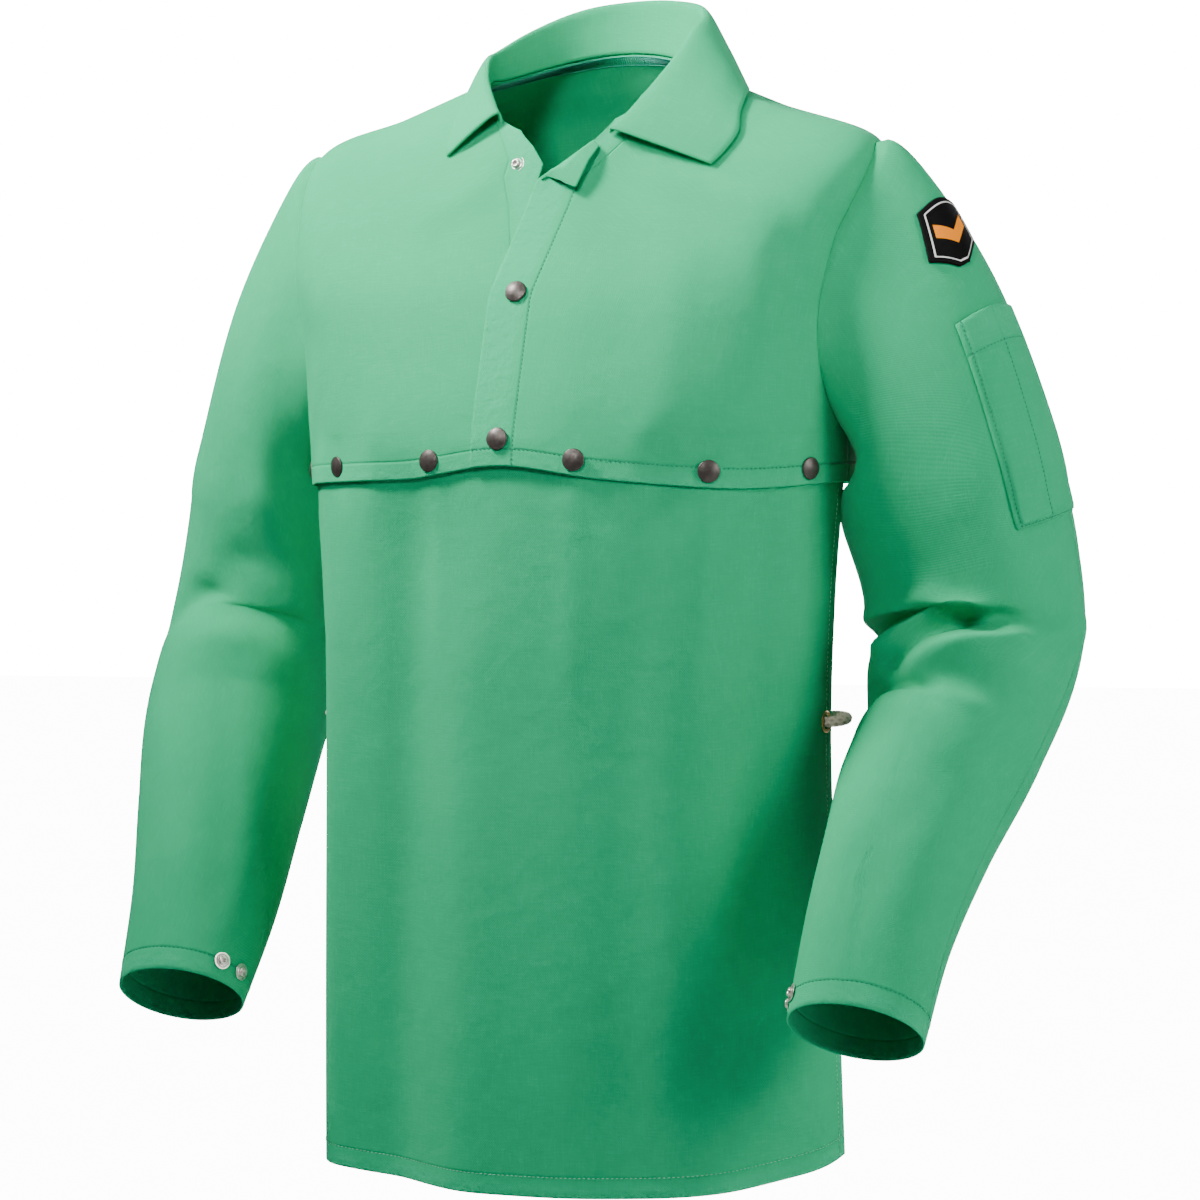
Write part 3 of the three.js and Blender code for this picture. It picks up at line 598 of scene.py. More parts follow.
def cotton_material(name, colour, deep_tone_and_shade, pale):
    """Flame-resistant cotton: a twill with soft creases, grooves at its stitching darkened with painted
    shade, and paler worn edges.
    """
    material, tree, shader = new_material(name, 0.88)
    where = object_place(tree)
    weave, yarn = placed(tree, TWILL, {"Vector": cloth_map(tree)})
    groove, edge = placed(tree, SEWN, {"Distances": marks_of(tree, "sewn")})
    broad = noise(where, 9.0, 3.0, 0.55)
    crease = noise(where, 38.0, 3.0, 0.5, 0.4)
    pucker = noise(where, 190.0)
    # the broad noise gives a random deeper tone; the same deep colour also serves as painted shade in the
    # stitching grooves
    cloth = mixed(broad.calc("MULTIPLY_ADD", 0.7, -0.1, clamp=True), deep_tone_and_shade, colour)
    cloth = mixed((yarn - 0.5).calc("MULTIPLY", 1.1, clamp=True), cloth, pale)
    # painted shade: the cloth is darkened along the grooves of its stitching, where shade would fall
    cloth = mixed(groove * 0.3, cloth, deep_tone_and_shade)
    cloth = mixed(edge * 0.12, cloth, pale)
    fill(shader, {"Base Color": cloth, "Roughness": yarn * 0.2 + 0.78, "Sheen Weight": 0.02,
                  "Sheen Roughness": 0.5, "Specular IOR Level": 0.1})
    creases = crease * 1.1 + broad * 1.5
    stitched = pucker * edge * 0.9 + groove * -0.45
    bump(shader, weave * 0.17 + creases + stitched, 0.9, 0.001)
    return material


def thread_material(name, colour, dark):
    material, tree, shader = new_material(name, 0.7)
    where = object_place(tree)
    fill(shader, {"Base Color": mixed(noise(where, 700.0, 2.0, 0.6), dark, colour), "Sheen Weight": 0.05})
    bump(shader, noise(where, 2600.0, 1.0), 0.4, 0.0002)
    return material


def metal_material(name, colour, dull, roughness, metallic):
    """Plated metal: uneven plating, fine scratches and a dull bloom."""
    material, tree, shader = new_material(name, roughness, metallic)
    where = object_place(tree)
    bloom = noise(where, 420.0, 4.0, 0.6)
    scratches = noise(stretched(where, (4200, 500, 900)), 1.0, 2.0, 0.7)
    fill(shader, {"Base Color": mixed(bloom.calc("MULTIPLY_ADD", 1.4, -0.3, clamp=True), dull, colour),
                  "Roughness": scratches * 0.12 + (bloom * 0.25 + (roughness - 0.12))})
    bump(shader, scratches * 0.3 + bloom, 0.25, 0.0001)
    return material


def cord_material():
    """Braided natural cotton: the crossing strands come from the piece's own map, with painted shade in the
    hollows between strands and a painted highlight on their crowns.
    """
    material, tree, shader = new_material("braided_cotton", 0.85)
    fibre = noise(stretched(cloth_map(tree), (2600, 700, 1), 0.6), 1.0, 3.0, 0.6)
    soil = noise(object_place(tree), 120.0, 3.0)
    hollow_shade_and_dark_fibre, lit, soiled = (0.36, 0.29, 0.18, 1), (0.80, 0.74, 0.60, 1), (0.62, 0.54, 0.4, 1)
    # painted shade in the hollows where strands dip under, and a painted highlight where they ride over; the
    # strand mark picks between them
    base = mixed(parts_of(marks_of(tree, "strand"))[0], hollow_shade_and_dark_fibre, lit)
    base = mixed(soil * 0.35, base, soiled)
    # random darker fibres use the same deep colour
    fill(shader, {"Base Color": mixed(fibre * 0.3, base, hollow_shade_and_dark_fibre), "Sheen Weight": 0.3})
    bump(shader, fibre, 0.5, 0.0004)
    return material


# The patch's drawing, in metres: a line inside its edge, and a chevron
PATCH_LINE = {"in": 0.0036, "half": 0.0005}
CHEVRON = {"down": 0.027, "slope": 0.7, "half": 0.0042, "in": 0.0065}


def patch_material():
    """An embroidered black patch with a pale line inside its edge and a plain orange chevron."""
    material, tree, shader = new_material("embroidered_patch", 0.75)
    edge, across, down = parts_of(marks_of(tree, "sewn"))
    pale_line = (edge - PATCH_LINE["in"]).calc("ABSOLUTE").calc("LESS_THAN", PATCH_LINE["half"])
    v_shape = down + across.calc("ABSOLUTE") * CHEVRON["slope"]
    bar = (v_shape - CHEVRON["down"]).calc("ABSOLUTE").calc("LESS_THAN", CHEVRON["half"])
    bar = bar * edge.calc("GREATER_THAN", CHEVRON["in"])
    thread = noise(stretched(cloth_map(tree), (3000, 300, 1)), 1.0)
    black = mixed(thread, (0.001, 0.001, 0.001, 1), (0.005, 0.005, 0.005, 1))
    face = mixed(pale_line, black, (0.75, 0.75, 0.72, 1))
    fill(shader, {"Base Color": mixed(bar, face, (0.95, 0.27, 0.0, 1)), "Specular IOR Level": 0.08})
    bump(shader, (pale_line + bar) * 0.5 + thread, 0.6, 0.0006)
    return material


COTTON = cotton_material("green_cotton", (0.012, 0.45, 0.19, 1), (0.005, 0.35, 0.14, 1),
                         (0.04, 0.6, 0.31, 1))
GREEN_THREAD = thread_material("green_thread", (0.003, 0.13, 0.085, 1), (0.002, 0.08, 0.05, 1))
PALE_THREAD = thread_material("pale_thread", (0.2, 0.62, 0.38, 1), (0.1, 0.42, 0.24, 1))
TEAL_THREAD = thread_material("teal_thread", (0.02, 0.46, 0.32, 1), (0.01, 0.3, 0.2, 1))
PEWTER = metal_material("dark_enamel_cap", (0.1, 0.085, 0.075, 1), (0.045, 0.038, 0.034, 1), 0.36, 0.6)
STEEL = metal_material("nickel_stud", (0.86, 0.82, 0.76, 1), (0.6, 0.54, 0.47, 1), 0.24, 0.8)
BRASS = metal_material("brass_eyelet", (0.7, 0.47, 0.2, 1), (0.42, 0.27, 0.11, 1), 0.3, 1.0)
CORD = cord_material()
PATCH = patch_material()


# Thread grown along lines by node trees
def thread_group(name, sizes):
    """A node group that takes lines, sizes of thread in metres and a material."""
    inputs = {"Geometry": ("Geometry", None)}
    inputs.update({label: ("Float", value) for label, value in sizes.items()})
    inputs["Material"] = ("Material", None)
    tree, start, end = group(name, "GeometryNodeTree", inputs, {"Geometry": "Geometry"})
    return tree, start, end, add(tree, "GeometryNodeMeshToCurve", {"Mesh": start["Geometry"]})


def end_thread(tree, start, end, thread):
    real = add(tree, "GeometryNodeRealizeInstances", {"Geometry": thread})
    finish = add(tree, "GeometryNodeSetMaterial", {"Geometry": real, "Material": start["Material"]})
    fill(end, {"Geometry": finish})
    return tree


def stitch_tree():
    """A run of short threads, laid evenly along lines."""
    sizes = {"Pitch": STITCH_PITCH * MM, "Length": STITCH_LENGTH * MM, "Thread": THREAD * MM}
    tree, start, end, curve = thread_group("stitch_run", sizes)
    even = add(tree, "GeometryNodeResampleCurve", mode="LENGTH")
    fill(even, {"Curve": curve, "Length": start["Pitch"]})
    tangent = add(tree, "GeometryNodeInputTangent")
    turn = add(tree, "FunctionNodeAlignRotationToVector", {"Vector": tangent}, axis="Z")
    bead = add(tree, "GeometryNodeMeshUVSphere", {"Segments": 6, "Rings": 4, "Radius": 0.5})
    size = add(tree, "ShaderNodeCombineXYZ", {0: start["Thread"], 1: start["Thread"], 2: start["Length"]})
    lay = add(tree, "GeometryNodeInstanceOnPoints",
              {"Points": even, "Instance": bead, "Rotation": turn, "Scale": size})
    return end_thread(tree, start, end, lay)


def thread_tree():
    """A round thread along lines."""
    tree, start, end, curve = thread_group("thread_run", {"Thread": OVERLOCK_THREAD * MM})
    ring = add(tree, "GeometryNodeCurvePrimitiveCircle", {"Resolution": 5, "Radius": start["Thread"] * 0.5})
    tube = add(tree, "GeometryNodeCurveToMesh", {"Curve": curve, "Profile Curve": ring, "Fill Caps": True})
    return end_thread(tree, start, end, tube)


def grown(name, tree, runs, **values):
    """Grows a node tree's thread along runs of points, given in millimetres, and returns a plain mesh."""
    mesh = bpy.data.meshes.new(name)
    points, edges = [], []
    for run in runs:
        edges += [(len(points) + k, len(points) + k + 1) for k in range(len(run) - 1)]
        points += [tuple(float(x) * MM for x in p) for p in run]
    mesh.from_pydata(points, edges, [])
    piece = bpy.data.objects.new(name, mesh)
    bpy.context.scene.collection.objects.link(piece)
    modifier = piece.modifiers.new("grow", "NODES")
    modifier.node_group = tree
    for item in tree.interface.items_tree:
        if item.in_out == "INPUT" and item.name in values:
            modifier[item.identifier] = values[item.name]
    depsgraph = bpy.context.evaluated_depsgraph_get()
    made = bpy.data.meshes.new_from_object(piece.evaluated_get(depsgraph), depsgraph=depsgraph)
    piece.modifiers.clear()
    piece.data = made
    return piece


STITCHES = stitch_tree()
THREADS = thread_tree()


def sew(name, runs, material):
    piece = grown(name, STITCHES, runs, Pitch=STITCH_PITCH * MM, Length=STITCH_LENGTH * MM,
                  Thread=THREAD * MM, Material=material)
    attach(piece, "root")


# Cape
LEFT_EDGE = [
    # level, distance across as a share of the neck's half width
    [CAPE_HEM, -OVERLAP / NECK_HALF_WIDTH],
    [7.0, -OVERLAP / NECK_HALF_WIDTH],
    [8.0, -0.15],
    [V_LEVEL, 0.0],
    [9.4, 0.15],
    [9.75, 0.45],
    [NECK, 0.66],
]
RIGHT_EDGE = [
    [CAPE_HEM, UNDERLAP / NECK_HALF_WIDTH],
    [8.0, UNDERLAP / NECK_HALF_WIDTH],
    [8.7, 0.1],
    [V_LEVEL, 0.0],
    [9.5, 0.03],
    [9.8, -0.1],
    [NECK, -0.26],
]
HEM_STEPS = [0.0, 0.012, 0.03, 0.09, 0.16, 0.2, 0.23, 0.26, 0.3]


def cape_levels():
    hem = [CAPE_HEM + s for s in HEM_STEPS]
    share = (1 - np.cos(np.linspace(0, math.pi, 70))) / 2
    arm = UNDERARM + (SHOULDER - UNDERARM) * share
    top = np.linspace(SHOULDER, NECK, 44)[1:]
    return np.array([*hem, *np.linspace(hem[-1], UNDERARM, 12)[1:-1], *arm, *top])


HEM_LEVEL_STEP = 43
BIB_LEVEL_STEP = 0.19 * BIB_DROP


def hem_distance(level):
    """Millimetres above the cape hem's sewn line, where the levels lie HEM_LEVEL_STEP apart."""
    return (level - CAPE_HEM) * HEM_LEVEL_STEP - HEM_WIDTH


def cape_back():
    levels = cape_levels()
    edge = 90 + armhole_at(levels) + seam_inset(levels)
    angles = edge[:, None] + (360 - 2 * edge[:, None]) * np.linspace(0, 1, 150)[None, :]
    level = np.broadcast_to(levels[:, None], angles.shape)
    cotton_piece("cotton_back", "cape_back", (0.50, 0.40, 0.74), hemmed(angles, level),
                 hem=hem_distance(level))


def edge_angle(rows, level, beyond=0.0):
    """The angle of a front's free edge, or of a line so many millimetres beyond it."""
    return angle_at(NECK_HALF_WIDTH * column_for(rows, level) + beyond, level)


def left_lift(angle, level):
    """How far the left front stands off, where it laps over the right one."""
    clear = angle_at(UNDERLAP, level)
    return (CLOTH + LAYER_GAP) * (1 - smooth(0, 12, angle - clear - 4))


def front_grid(side, rows, columns=110):
    levels = cape_levels()
    armhole = 90 - armhole_at(levels) - seam_inset(levels)
    centre = edge_angle(rows, levels)
    f = np.linspace(0, 1, columns)[None, :] ** 1.15
    angles = centre[:, None] * (1 - f) + side * armhole[:, None] * f
    level = np.broadcast_to(levels[:, None], angles.shape)
    return angles, level


def past_edge(grid, rows, level, width):
    """Distance across from a front's free edge, less the width to its sewn line."""
    edge_x = NECK_HALF_WIDTH * column_for(rows, level)
    return np.abs(grid[..., 0] - edge_x) - width


def cape_front(side, word, rows, hem, flat):
    """A front from its free edge to the armhole; the left one is lifted where it laps over the right."""
    angles, level = front_grid(side, rows)
    grid = hemmed(angles, level, left_lift(angles, level) if side > 0 else 0.0)
    cotton_piece(f"cotton_front_{word}", f"cape_front_{word}", flat, grid,
                 hem=hem_distance(level), side=past_edge(grid, rows, level, hem))


LAPEL_ROWS = [
    # share of the roll from the V up to the collar, width as a share of the lapel's width
    [0.0, 0.06],
    [0.14, 0.1],
    [0.45, 1.0],
    [0.8, 0.5],
    [1.0, 0.3],
]


def lapel():
    """The left front's corner, turned out beside the V."""
    f = np.linspace(0, 1, 40)
    level = toward(V_LEVEL + 0.03, NECK - 0.22, f)
    angle = edge_angle(LEFT_EDGE, level) + 0.6
    normal = body_normal(angle, level)
    point = body(angle, level, left_lift(angle, level))
    along = unit(np.gradient(point, axis=0))
    away = -unit(np.cross(normal, along))
    width = LAPEL_SHOWN * LAPEL_WIDTH * column_for(LAPEL_ROWS, f)
    reach = np.linspace(1, 0, 20)[:, None]
    open_share = smooth(0, 0.3, reach) * np.minimum(1, 1.6 * width / LAPEL_WIDTH)[None, :]
    lift = toward(-0.6 * CLOTH, LAPEL_LIFT, open_share)
    grid = point[None] + away[None] * (width[None, :] * reach)[..., None] + normal[None] * lift[..., None]
    cotton_piece("turned_out_corner", "cape_front_left", (0.05, 0.02, 0.7), grid, (0, CLOTH))


# Bib
EYELET_LEVEL = 2.15
EYELET_ANGLE = float(BIB_HALF_ANGLE - degrees_for(EYELET_INSET, BIB_HALF_ANGLE, EYELET_LEVEL))


def bib_point(angle, level, out=0.0):
    angle, level = same_shape(angle, level)
    point = hemmed(angle, level, out - CLOTH - LAYER_GAP)
    low = np.clip(1 - level / CAPE_HEM, 0, 1) ** 3
    point[..., 2] += BIB_CORNER_RISE * low * (angle / BIB_HALF_ANGLE) ** 2
    return point


def bib_normal(angle, level):
    across = bib_point(angle + 0.5, level) - bib_point(angle - 0.5, level)
    return unit(np.cross(across, bib_point(angle, level + 0.02) - bib_point(angle, level - 0.02)))


def bib():
    levels = np.concatenate([[0, 0.01, 0.04, 0.09, 0.11, 0.13, 0.17], np.linspace(0.22, BIB_TUCK, 150)])
    side = np.array([0, 0.3, 1.0, 2.0, 2.7, 3.3])
    angles = np.concatenate([-90 + side, np.linspace(-85.5, 85.5, 150), (90 - side)[::-1]])
    angle, level = np.meshgrid(angles, levels)
    grid = bib_point(angle, level)
    inset = (90 - np.abs(angle)) / degrees_for(1.0, 85.0, np.clip(level, 0, CAPE_HEM)) - BIB_SIDE_HEM
    from_hem = (grid[..., 2] - grid[0, :, 2]) - BIB_HEM
    cotton_piece("cotton_bib", "bib", (0.54, 0.53, 0.97), grid, hem=from_hem, side=inset)


# Sleeves
ARM_ROWS = np.array([
    # left: out and back, right: out and back, and down, all as shares of the sleeve's drop
    [0.0, 0.0, 0.0, 0.0, 0.0],
    [0.07, 0.032, 0.07, 0.053, 0.127],
    [0.099, 0.066, 0.097, 0.093, 0.254],
    [0.128, 0.09, 0.132, 0.107, 0.381],
    [0.146, 0.085, 0.154, 0.094, 0.487],
    [0.132, 0.012, 0.152, 0.012, 0.614],
    [0.105, -0.078, 0.127, -0.079, 0.742],
    [0.088, -0.168, 0.101, -0.168, 0.869],
    [0.084, -0.255, 0.09, -0.254, 1.0],
])
ARM_START = np.array([ARMHOLE_CENTRE_OUT, 0, -ARMHOLE_CENTRE_DROP])


def arm_line(out_column):
    rows = ARM_ROWS[:, [out_column, out_column + 1, 4]] * [SLEEVE_DROP, SLEEVE_DROP, -SLEEVE_DROP]
    line, length = even_curve(rows + ARM_START, 801)
    return line, unit(np.gradient(line, axis=0)), length


ARMS = {1: arm_line(0), -1: arm_line(2)}
SLEEVE_GIRTH = [
    # left's half width, right's half width and half depth, as shares of the upper arm's half width
    [1.0, 1.0, 1.0],
    [1.02, 1.0, 0.98],
    [0.98, 0.96, 0.92],
    [0.93, 0.9, 0.88],
    [0.84, 0.86, 0.85],
    [0.75, 0.82, 0.8],
    [0.66, 0.73, 0.73],
    [0.59, 0.64, 0.64],
    [CUFF_HALF_WIDTH / UPPER_ARM_HALF, CUFF_HALF_WIDTH / UPPER_ARM_HALF, CUFF_HALF_DEPTH / UPPER_ARM_HALF],
]
SLEEVE_FOLDS = {
    1: [
        # turn, share, turn, share, turn width, share width, height in cloths, and crispness if any
        [150, 0.42, 95, 0.44, 26, 0.03, 5.0],
        [170, 0.49, 60, 0.5, 30, 0.022, -2.5],
        [130, 0.55, 45, 0.53, 28, 0.025, 5.0],
        [150, 0.6, 70, 0.585, 26, 0.022, -4.0],
        [60, 0.36, 40, 0.1, 22, 0.06, 2.5],
        # Creases that gather on the inside of the bent elbow and fan out over its front
        [140, 0.41, 100, 0.40, 12, 0.024, 2.5],
        [100, 0.40, 84, 0.445, 10, 0.018, 5.0],
        [84, 0.455, 128, 0.545, 9, 0.014, 6.0],
        [60, 0.465, 82, 0.49, 10, 0.012, -5.0],
        [82, 0.49, 120, 0.565, 9, 0.012, -7.0],
        [5, 0.455, 50, 0.505, 12, 0.018, 4.0],
        [50, 0.505, 100, 0.575, 9, 0.013, 7.0, 0.2],
        [140, 0.59, 92, 0.597, 10, 0.010, -5.0, 0.3],
        [92, 0.597, 60, 0.60, 12, 0.014, 3.0],
        [120, 0.60, 60, 0.66, 16, 0.03, 2.2],
        [150, 0.70, 110, 0.8, 16, 0.04, 1.6],
        [60, 0.70, 80, 0.86, 14, 0.04, -1.4],
    ],
    -1: [
        [85, 0.1, 140, 0.45, 16, 0.08, 3.0],
        [125, 0.12, 165, 0.4, 18, 0.07, -3.0],
        [150, 0.5, 80, 0.47, 24, 0.03, -1.0],
        [130, 0.56, 75, 0.53, 26, 0.03, 3.0],
        # A soft ridge from the shoulder to the elbow, with a hollow behind it, and the elbow's own folds
        [76, 0.14, 98, 0.233, 14, 0.05, 2.6],
        [98, 0.233, 135, 0.389, 14, 0.05, 3.2],
        [135, 0.389, 158, 0.472, 14, 0.05, 2.6],
        [112, 0.2, 150, 0.36, 13, 0.05, -3.0],
        [53, 0.493, 76, 0.425, 16, 0.02, -3.0],
        [76, 0.425, 95, 0.355, 16, 0.03, -2.6],
        [82, 0.56, 106, 0.55, 22, 0.03, 2.6],
        [60, 0.6, 90, 0.85, 16, 0.05, 1.8],
        [110, 0.62, 130, 0.88, 14, 0.05, -1.6],
    ],
}
SLEEVE_BLEND = 0.3


def along_arm(values, share):
    at = np.clip(share, 0, 1) * (len(values) - 1)
    i = np.clip(np.floor(at).astype(int), 0, len(values) - 2)
    return values[i] + (values[i + 1] - values[i]) * (at - i)[..., None]


def armhole_edge(side, turn):
    share = np.clip((1 + np.cos(np.radians(turn))) / 2, 0, 1)
    ahead = np.where(np.sin(np.radians(turn)) > 0, -1, 1)
    sweep = ARMHOLE_SWEEP * np.abs(np.sin(math.pi * share)) ** 0.6
    return side * (90 + ahead * sweep), UNDERARM + (SHOULDER - UNDERARM) * share


def sleeve_point(side, turn, share):
    """A point on a sleeve: a turn in degrees from the outside over the front, and a share of its length."""
    turn, share = same_shape(turn, share)
    line, ways, _ = ARMS[side]
    centre, along = along_arm(line, share), unit(along_arm(ways, share))
    across = np.array([1.0, 0, 0])
    outward = unit(across - along * (along @ across)[..., None])
    ahead = unit(np.cross(along, outward))
    left, right, depth = np.moveaxis(row_at(SLEEVE_GIRTH, share * (len(SLEEVE_GIRTH) - 1)), -1, 0)
    width = left if side > 0 else right
    turned = np.where(turn > 270, turn - 360, turn)
    folds = fold_height(SLEEVE_FOLDS[side], turned, share)
    cap = CAP_FULLNESS * np.sin(math.pi * np.minimum(share / SLEEVE_BLEND, 1) ** 0.42)
    c, s = np.cos(np.radians(turn)), np.sin(np.radians(turn))
    tube = (centre + outward * ((UPPER_ARM_HALF * width + folds) * c)[..., None]
            + ahead * ((UPPER_ARM_HALF * depth + folds) * s)[..., None])
    hung = body(*armhole_edge(side, turn)) * [side, 1, 1]
    start = line[0]
    inward = (hung - start) * [0, 1, 1]
    hung = hung - unit(inward) * SEAM_GAP + centre - start
    point = hung + (tube - hung) * smooth(0, SLEEVE_BLEND, share)[..., None]
    point = point + outward * (cap * np.maximum(c, 0))[..., None]
    return point * [side, 1, 1]


def sleeve_normal(side, turn, share):
    across = sleeve_point(side, turn + 2, share) - sleeve_point(side, turn - 2, share)
    low = np.maximum(share - 0.005, 0)
    along = sleeve_point(side, turn, low + 0.01) - sleeve_point(side, turn, low)
    return unit(np.cross(across, along)) * side


def sleeve(side, word):
    turns = np.linspace(0, 360, 150, endpoint=False)
    shares = np.concatenate([np.linspace(0, 0.96, 170) ** 1.05, [0.966, 0.97, 0.974, 0.985, 0.995, 1.0]])
    turn, share = np.meshgrid(turns, shares)
    grid = sleeve_point(side, turn, share)
    edge_normals = body_normal(*armhole_edge(side, turns))
    if side < 0:
        grid, edge_normals = grid[:, ::-1], edge_normals[::-1]
    cotton_piece(f"cotton_sleeve_{word}", f"sleeve_{word}", (0.52, 0.62, 0.78), grid, around=True,
                 edge_normals=edge_normals, hem=(1 - share) * ARMS[side][2] - CUFF_HEM)


POCKET_SWELL = 2.6
POCKET_SEAT = {"turn": 19, "share": 0.242, "lean": 0, "skews": (0.015, 0.0)}
PATCH_SEAT = {"turn": 21, "share": 0.097, "lean": 10, "skews": (0.02, 0.016)}


def sleeve_panel(seat, width, length, rows, columns, width_share):
    """A panel's grid about its seat on the left sleeve, with each point's place down and across it."""
    turn, share = seat["turn"], seat["share"]

    def gap(turn_step, share_step):
        ends = [sleeve_point(1, turn + k * turn_step, share + k * share_step) for k in (1, -1)]
        return np.linalg.norm(ends[0] - ends[1])

    down, f = np.meshgrid(np.linspace(1, 0, rows), np.linspace(1, -1, columns), indexing="ij")
    across = f * width / 2 * width_share(down)
    turns = turn + seat["lean"] * (down - 0.5) + across * 2 / gap(1, 0)
    skew = toward(seat["skews"][0], seat["skews"][1], down)
    shares = share + (down - 0.5) * length * 0.01 / gap(0, 0.005) - f * width_share(down) * skew / 2
    return sleeve_point(1, turns, shares), down * length, across


POCKET_EDGE = 3.0
POCKET_HEM = 14.0
POCKET_DIVIDER = 4.0
POCKET_WALL = (0.1, 1.3)


def pocket_surface():
    grid, down, across = sleeve_panel(POCKET_SEAT, POCKET_WIDTH, POCKET_LENGTH, 90, 44, lambda d: 1 + 0 * d)
    edge = np.minimum(POCKET_WIDTH / 2 - np.abs(across), POCKET_LENGTH - down)
    grid = grid + grid_normals(grid, False) * (POCKET_SWELL * smooth(0, 5, edge))[..., None]
    return grid, down, across, edge


def pocket():
    grid, down, across, edge = pocket_surface()
    cotton_piece("cotton_pocket", "sleeve_pocket", (0.066, 0.15, 0.9), grid, POCKET_WALL,
                 rim=edge - POCKET_EDGE, hem=down - POCKET_HEM, divider=np.abs(across - POCKET_DIVIDER))


def pocket_lines(above):
    """The pocket's sewn lines: both sides, the bottom, the top hem and the divider."""
    grid, down, across, _ = pocket_surface()
    top = grid + grid_normals(grid, False) * (POCKET_WALL[1] + above)
    hem = int(np.argmin(np.abs(down[:, 0] - POCKET_HEM)))
    divider = int(np.argmin(np.abs(across[0] - POCKET_DIVIDER)))
    low = int(np.argmin(np.abs(down[:, 0] - POCKET_LENGTH + POCKET_EDGE)))
    side = int(np.argmin(np.abs(across[0] - POCKET_WIDTH / 2 + POCKET_EDGE)))
    other = top.shape[1] - 1 - side
    return [top[low:, side], top[low:, other], top[low, side:other + 1], top[hem, side:other + 1],
            top[low:hem + 1, divider]]


SHIELD_SIDES = 0.7
SHIELD_TIP = 0.2
PATCH_WALL = (0.2, 2.4)


def shield_share(down):
    return toward(1, SHIELD_TIP, np.maximum(down - SHIELD_SIDES, 0) / (1 - SHIELD_SIDES))


def patch():
    grid, down, across = sleeve_panel(PATCH_SEAT, PATCH_WIDTH, PATCH_HEIGHT, 60, 50, shield_share)
    half = PATCH_WIDTH / 2 * shield_share(down / PATCH_HEIGHT)
    edge = np.minimum(half - np.abs(across), np.minimum(down, PATCH_HEIGHT - down + 1.5))
    piece = cloth_piece("shield_patch", grid, PATCH_WALL, PATCH, np.stack([edge, across, down], axis=-1))
    wear_on(piece, "sleeve_patch")


# Collar
COLLAR = [
    # base angle and level, fold's rise and lean, leaf edge's angle and level, leaf's stand-off
    [-33, 9.94, 0.08, 0.03, -40, 9.2, 2.4],
    [-48, 10, 0.1, 0.02, -55, 9.56, 2.4],
    [-68, 10, 0.16, 0.01, -74, 9.78, 2.4],
    [-92, 10, 0.24, 0.02, -97, 9.8, 2.4],
    [-122, 10, 0.37, 0.03, -124, 9.68, 2.4],
    [-152, 10, 0.46, 0.04, -153, 9.56, 2.4],
    [-180, 10, 0.49, 0.06, -180, 9.52, 2.4],
    [-208, 10, 0.52, 0.07, -207, 9.5, 2.4],
    [-238, 10, 0.54, 0.08, -236, 9.46, 2.4],
    [-264, 10, 0.46, 0.08, -266, 9.4, 2.4],
    [-288, 10, 0.24, 0.06, -288, 9.22, 2.4],
    [-308, 9.98, 0.09, 0.04, -301, 8.97, 2.4],
    [-333, 9.78, 0.03, 0.04, -316, 8.78, 2.4],
]


def collar_grid(places, ways):
    angle, level, rise, lean, leaf_angle, leaf_level, stand_off = np.moveaxis(row_at(COLLAR, places), -1, 0)
    base = body(angle, level)
    outward = unit((base - [NECK_SWAY, 0, 0]) * [1, 1, 0])
    up = np.array([0, 0, 1.0])
    base = base + up * (SEAM_GAP + 0.4 * COLLAR_CLOTH) - outward * 0.4 * COLLAR_CLOTH
    below = smooth(0, 0.06, NECK - level)
    base = base + body_normal(angle, level) * ((COLLAR_CLOTH / 2 + LAYER_GAP) * below)[..., None]
    fold = base + up * (NECK_HALF_WIDTH * rise)[..., None] + outward * (NECK_HALF_WIDTH * lean)[..., None]
    edge = body(leaf_angle, leaf_level, stand_off)
    crown = fold + outward * 1.5 * COLLAR_CLOTH - up * 0.3
    leaf = (crown + edge) / 2 + outward * 0.8 * COLLAR_CLOTH
    stand = base + (fold - base) * 0.6 - outward * 0.3
    points = np.stack([base, stand, fold, crown, leaf, edge], axis=-2)
    return np.stack([curve_at(points, 5 * way) for way in ways])


def collar():
    places = np.linspace(0, len(COLLAR) - 1, 190)
    ways = np.linspace(0, 1, 46)
    grid = collar_grid(places, ways)[:, ::-1]
    cotton_piece("cotton_collar", "collar", (0.50, 0.10, 0.9), grid, (-COLLAR_CLOTH / 2, COLLAR_CLOTH / 2))


# Metal parts
LATHE_SIDES = 40


def turned(name, profile, seat, normal, material):
    """A piece turned on a lathe: its profile of radius and height stands on a seat along a normal."""
    helper = np.array([1.0, 0, 0]) if abs(normal[0]) < 0.8 else np.array([0, 1.0, 0])
    a = unit(np.cross(normal, helper))
    b = np.cross(normal, a)
    around = 2 * math.pi * np.arange(LATHE_SIDES) / LATHE_SIDES
    points, rings = [], []
    for r, h in profile:
        turn = around[:1] if r < 1e-6 else around
        rings.append(np.resize(np.arange(len(points), len(points) + len(turn)), LATHE_SIDES))
        points += [seat + normal * h + (a * math.cos(t) + b * math.sin(t)) * r for t in turn]
    if profile[0][0] > 0:
        rings.append(rings[0])
    faces = []
    for low, high in zip(rings, rings[1:]):
        for corners in zip(low, np.roll(low, -1), np.roll(high, -1), high):
            faces.append(tuple(dict.fromkeys(int(k) for k in corners)))
    return mesh_piece(name, points, faces, material)


def arc(cx, cy, r, start, stop, count=6):
    return [(cx + r * math.cos(math.radians(t)), cy + r * math.sin(math.radians(t)))
            for t in np.linspace(start, stop, count)]


